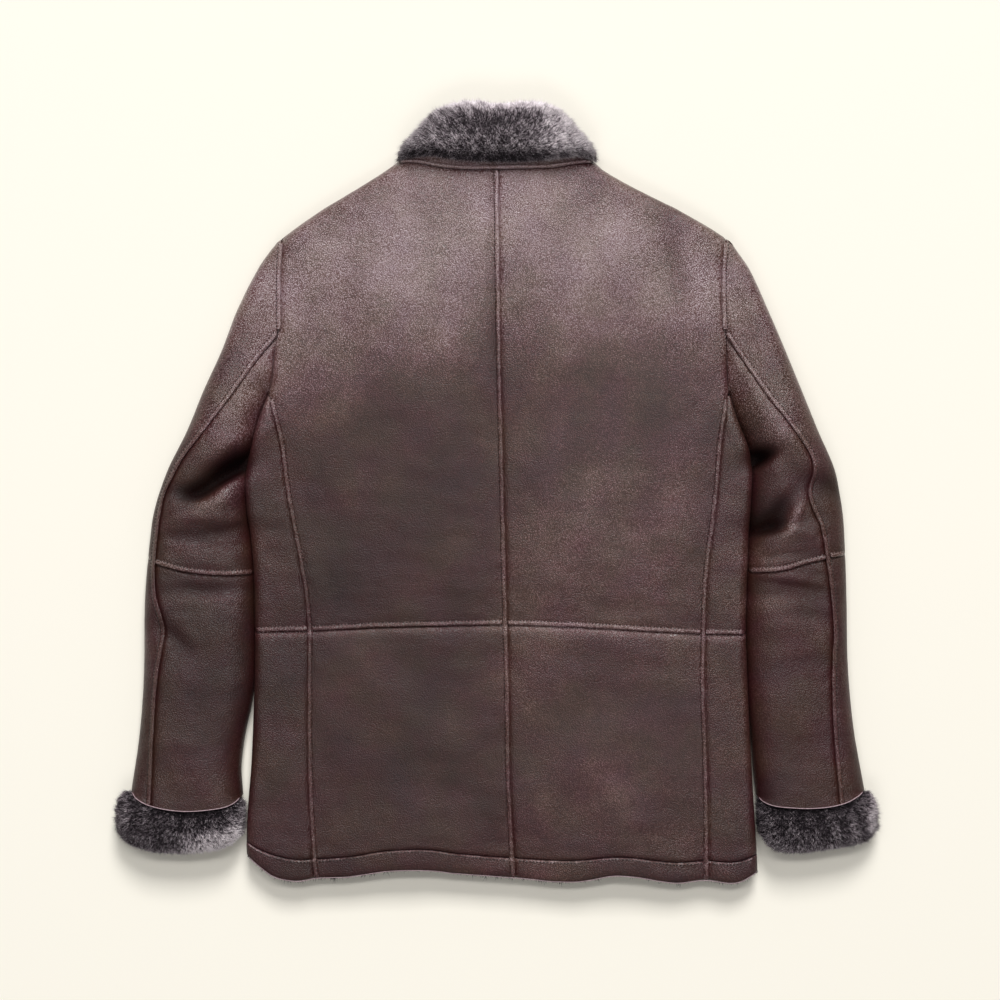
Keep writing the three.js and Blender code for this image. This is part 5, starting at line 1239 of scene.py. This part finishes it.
def collar():
    # stand: a ring of leather from the neck seam up. fall: the fur side out, folded down over it
    look = collarEdge
    u, isUnder = ringShares(look["hidden"], *look["round"])
    low, high = through(*collarLower.T), through(*collarFold.T)
    leftOf, rightOf = through(standSide[:, 0], standSide[:, 1]), through(standSide[:, 0], standSide[:, 2])
    foot = neckSeam[0, 1]
    heights = np.concatenate([[foot], np.linspace(foot + 4.5, look["close"], 12)])

    def standRow(y, u):
        if y == foot:
            x = mix(*neckSeam[[0, -1], 0], u)
            return np.stack([x, neckY(x)], -1)
        left, right = float(leftOf(y)), float(rightOf(y))
        x = mix(left, right, u)
        fade = np.clip((look["close"] - y) / look["sagReach"], 0, 1)
        sag = (low(x) - mix(low(left), low(right), u)) * fade
        return np.stack([x, y + sag], -1)

    def standAt(u):
        return np.array([standRow(y, u) for y in heights])
    sideLines = [standAt(np.array([end]))[:, 0] for end in (0.0, 1.0)]

    def raisedAt(y):
        return smooth((y - look["standStart"]) / look["standRise"])

    def standSlot(x, y):
        return mix(midLevel, build["collarHeight"] / 2, raisedAt(y))

    def standDepth(y):
        return build["slot"] / 2 + mix(build["wall"], build["standWall"], raisedAt(y))

    def standOut(x, y, reach):
        return standDepth(y) * rounding(nearest(sideLines, x, y), reach)

    def standTop(x, y):  # dips beside the piping of the neck seam
        dip = look["dip"] * (1 - rounding(lineDistance(neckLine, x, y) - look["dipStart"], look["dipReach"]))
        return standSlot(x, y) + standOut(x, y, shoulderEdge["over"]) - dip + 0.1 * ripple(x, y, 16, 15)

    stand = ringGrid(standAt(u), isUnder, standTop,
                     lambda x, y: standSlot(x, y) - standOut(x, y, shoulderEdge["under"]))
    standIn = ringGrid(standAt(u + look["drawn"] * (1 - 2 * u)), isUnder,
                       *slotSides(standSlot, partial(slotHalf, sideLines)))
    addWall("collarStand", "collar_stand", stand, standIn, hide)

    left, right = splineThrough(collarSides["left"]), splineThrough(collarSides["right"])
    lowEnds, foldEnds = collarLower[[0, -1], 0], collarFold[[0, -1], 0]
    lowLine, foldLine = acrossLine(low, *lowEnds), acrossLine(high, *foldEnds)
    v = spread(look["down"], 0.5)

    def fallPlan(u):
        lower, upper = (np.stack([mix(*ends, u), curve(mix(*ends, u))], -1)
                        for ends, curve in ((lowEnds, low), (foldEnds, high)))
        return coons(along(left, v), along(right, v), lower, upper, u, v)

    def fallHeight(x, y, up):
        level = standSlot(x, y)
        full = standDepth(y) + build["fallWall"] if up > 0 else level
        side = full * rounding(nearest((left, right), x, y), look["reach"])
        edge = np.minimum(side, standOut(x, y, shoulderEdge["over"]) + look["lip"])
        lifted = mix(edge, side, rounding(lineDistance(lowLine, x, y), look["edgeReach"]))
        lip = np.minimum(lifted, look["foldLip"])
        return level + up * mix(lip, lifted, rounding(lineDistance(foldLine, x, y), look["foldReach"]))

    outer = ringGrid(fallPlan(u), isUnder, partial(fallHeight, up=1), partial(fallHeight, up=-1))
    normal = np.cross(np.gradient(stand, axis=1), np.gradient(stand, axis=0))
    normal /= np.linalg.norm(normal, axis=-1, keepdims=True) + 1e-9
    if normal[0, stand.shape[1] // 2, 2] < 0:
        normal = -normal
    raised = (stand + look["clearance"] * normal)[1:]
    closing = raised[-1].copy()
    closing[:, 2] = build["collarHeight"] / 2 + np.where(isUnder, -1, 1) * look["closeHalf"]
    closing[:, 1] += look["closeRoom"]
    last = closing.copy()
    last[:, 1] = fallPlan(u)[-1][:, 1] - look["depth"]
    keys = np.concatenate([raised, closing[None], last[None]])
    keyAt = np.concatenate([np.linspace(0, 0.86, len(raised)), [0.9, 1.0]])
    inner = resampled(keys, keyAt, v)
    addWall("collarBase", "collar_fall", mix(outer, inner, furLook["base"]), inner, hide[::-1])

    def flow(x, y):  # hairs hang over the leather at the lower edge and stand up at the fold
        above = lineDistance(lowLine, x, y)
        down = -0.4 - 3.2 * np.exp(-above / 7) + 1.2 * smooth((y - 398) / 10)
        return np.stack([0.012 * x, down, 0 * x], -1)

    def silverAndLight(x, y):  # dark roots with painted shadow over the leather, darker in two patches, paler to the right, painted light at the fold and rim
        above = lineDistance(lowLine, x, y)
        pale = 0.44 + 0.42 * smooth((x - 32) / 40) + 0.26 * smooth((y - 394) / 12)
        pale = pale + 0.06 * smooth((-x - 50) / 40) * smooth((above - 5) / 10)
        pale = pale + 0.3 * np.exp(-nearest((left, right, foldLine), x, y) / 4)
        pale = pale + patchesAt(x, y, furPatches["collar"])
        return pale - 0.36 * (1 - smooth((above - 1) / 8)) + 0.1 * ripple(x, y, 14, 12)

    for number in (1, 2):
        addHairs(f"collarFur_{number}", "collar_fall", outer, inner, isUnder, 30 + number, silverAndLight, flow,
                 furLook)


collar()
print("fur collar made")

# Fray of the cut hem: short fibres of skin and wool along both hides' edges
frayLook = {"count": 7000, "length": 2.9, "radius": 0.26, "low": 2.5, "high": 25, "inside": 0.9,
            "lean": 0.55, "tuftSize": 11, "floor": 0.4}


def addFray(name, look):
    # fibres of three sides, their roots spread over the cut edge's height, their tips out past it in tufts
    pick = np.random.default_rng(41)
    count, radius = look["count"], look["radius"]
    x, y = placesAt(hemCutLine, pick.uniform(2, lengths(hemCutLine)[-1] - 2, count)).T
    z = pick.uniform(look["low"], look["high"], count)
    root = np.stack([x, y + look["inside"], z], -1)
    lean = pick.normal(0, look["lean"], (count, 3)) + (0, -1, 0)
    tuft = np.clip(0.85 + 0.25 * ripple(x, y, look["tuftSize"], 19), 0.5, 1.3)
    tip = root + lean * (look["length"] * tuft * pick.uniform(0.4, 1.1, count))[:, None]
    roots = [root + np.array(step) * radius for step in ((1, 0, 0), (-1, 0, 1), (-1, 0, -1))]
    points = np.stack([*roots, tip], axis=1)
    points[..., 2] = np.maximum(points[..., 2], look["floor"])
    addPiece(name, points.reshape(-1, 3), [spikeFaces(count)], [wool], sharp=180)


def hemLevel(x, y):  # the back's level, carried on past the cut edge
    y = np.maximum(y, hemCutY(x))
    return np.where(x < centreX(y), coat["left"].body.top(x, y), coat["right"].body.top(x, y))


addStrip("hemRawEdge", None, hemCutLine, (0, 1), hemLevel, (3, 3), rawEdgeProfile, cutEdge, "cut_edge",
         stitched=False)
addFray("hemFray", frayLook)
print("hem fray made")

# Floor and light: a pale seamless floor in a dim room. "key" comes from beyond the
# collar and throws the shadow below the hem, "gleam" is a long strip that the upper back mirrors.
# share: how much of the floor's brightness a light gives
studio = {"floor": "#fffbef", "room": 0.2, "warm": "#fffefd", "view": "Standard", "lights": {
    "key": {"share": 0.49, "place": (1.2, 11.5, 10.5), "width": 5.0, "height": 5.0},
    "gleam": {"share": 0.26, "place": (-0.1, 1.35, 4.4), "width": 2.6, "height": 0.5},
    "fill": {"share": 0.1, "place": (-0.5, -3.0, 4.6), "width": 2.4, "height": 1.6}}}


def addStudio(look):
    bpy.ops.mesh.primitive_plane_add(size=14, location=(0, 0, -0.0005))
    floor = bpy.context.object
    floor.name = "paleFloor"
    material, add = newMaterial("paleFloor")
    shader = add("ShaderNodeBsdfPrincipled", {
        "Base Color": linear(look["floor"]), "Roughness": 0.9, "Specular IOR Level": 0.2})
    add("ShaderNodeOutputMaterial", {"Surface": shader})
    floor.data.materials.append(material)
    world = bpy.data.worlds.new("room")
    scene.world = world
    world.use_nodes = True
    sky = world.node_tree.nodes["Background"]
    sky.inputs["Color"].default_value = linear(look["warm"])
    sky.inputs["Strength"].default_value = look["room"]
    for name, lamp in look["lights"].items():
        light = bpy.data.lights.new(name, "AREA")
        light.shape = "RECTANGLE"
        light.size, light.size_y = lamp["width"], lamp["height"]
        light.color = linear(look["warm"])[:3]
        away = Vector(lamp["place"])
        # power that gives this share of a white floor's brightness from this place
        light.energy = lamp["share"] * np.pi ** 2 * away.length ** 3 / away.z
        made = bpy.data.objects.new(name, light)
        made.location = away
        made.rotation_euler = (-away).to_track_quat("-Z", "Y").to_euler()
        scene.collection.objects.link(made)
    scene.view_settings.view_transform = look["view"]


addStudio(studio)
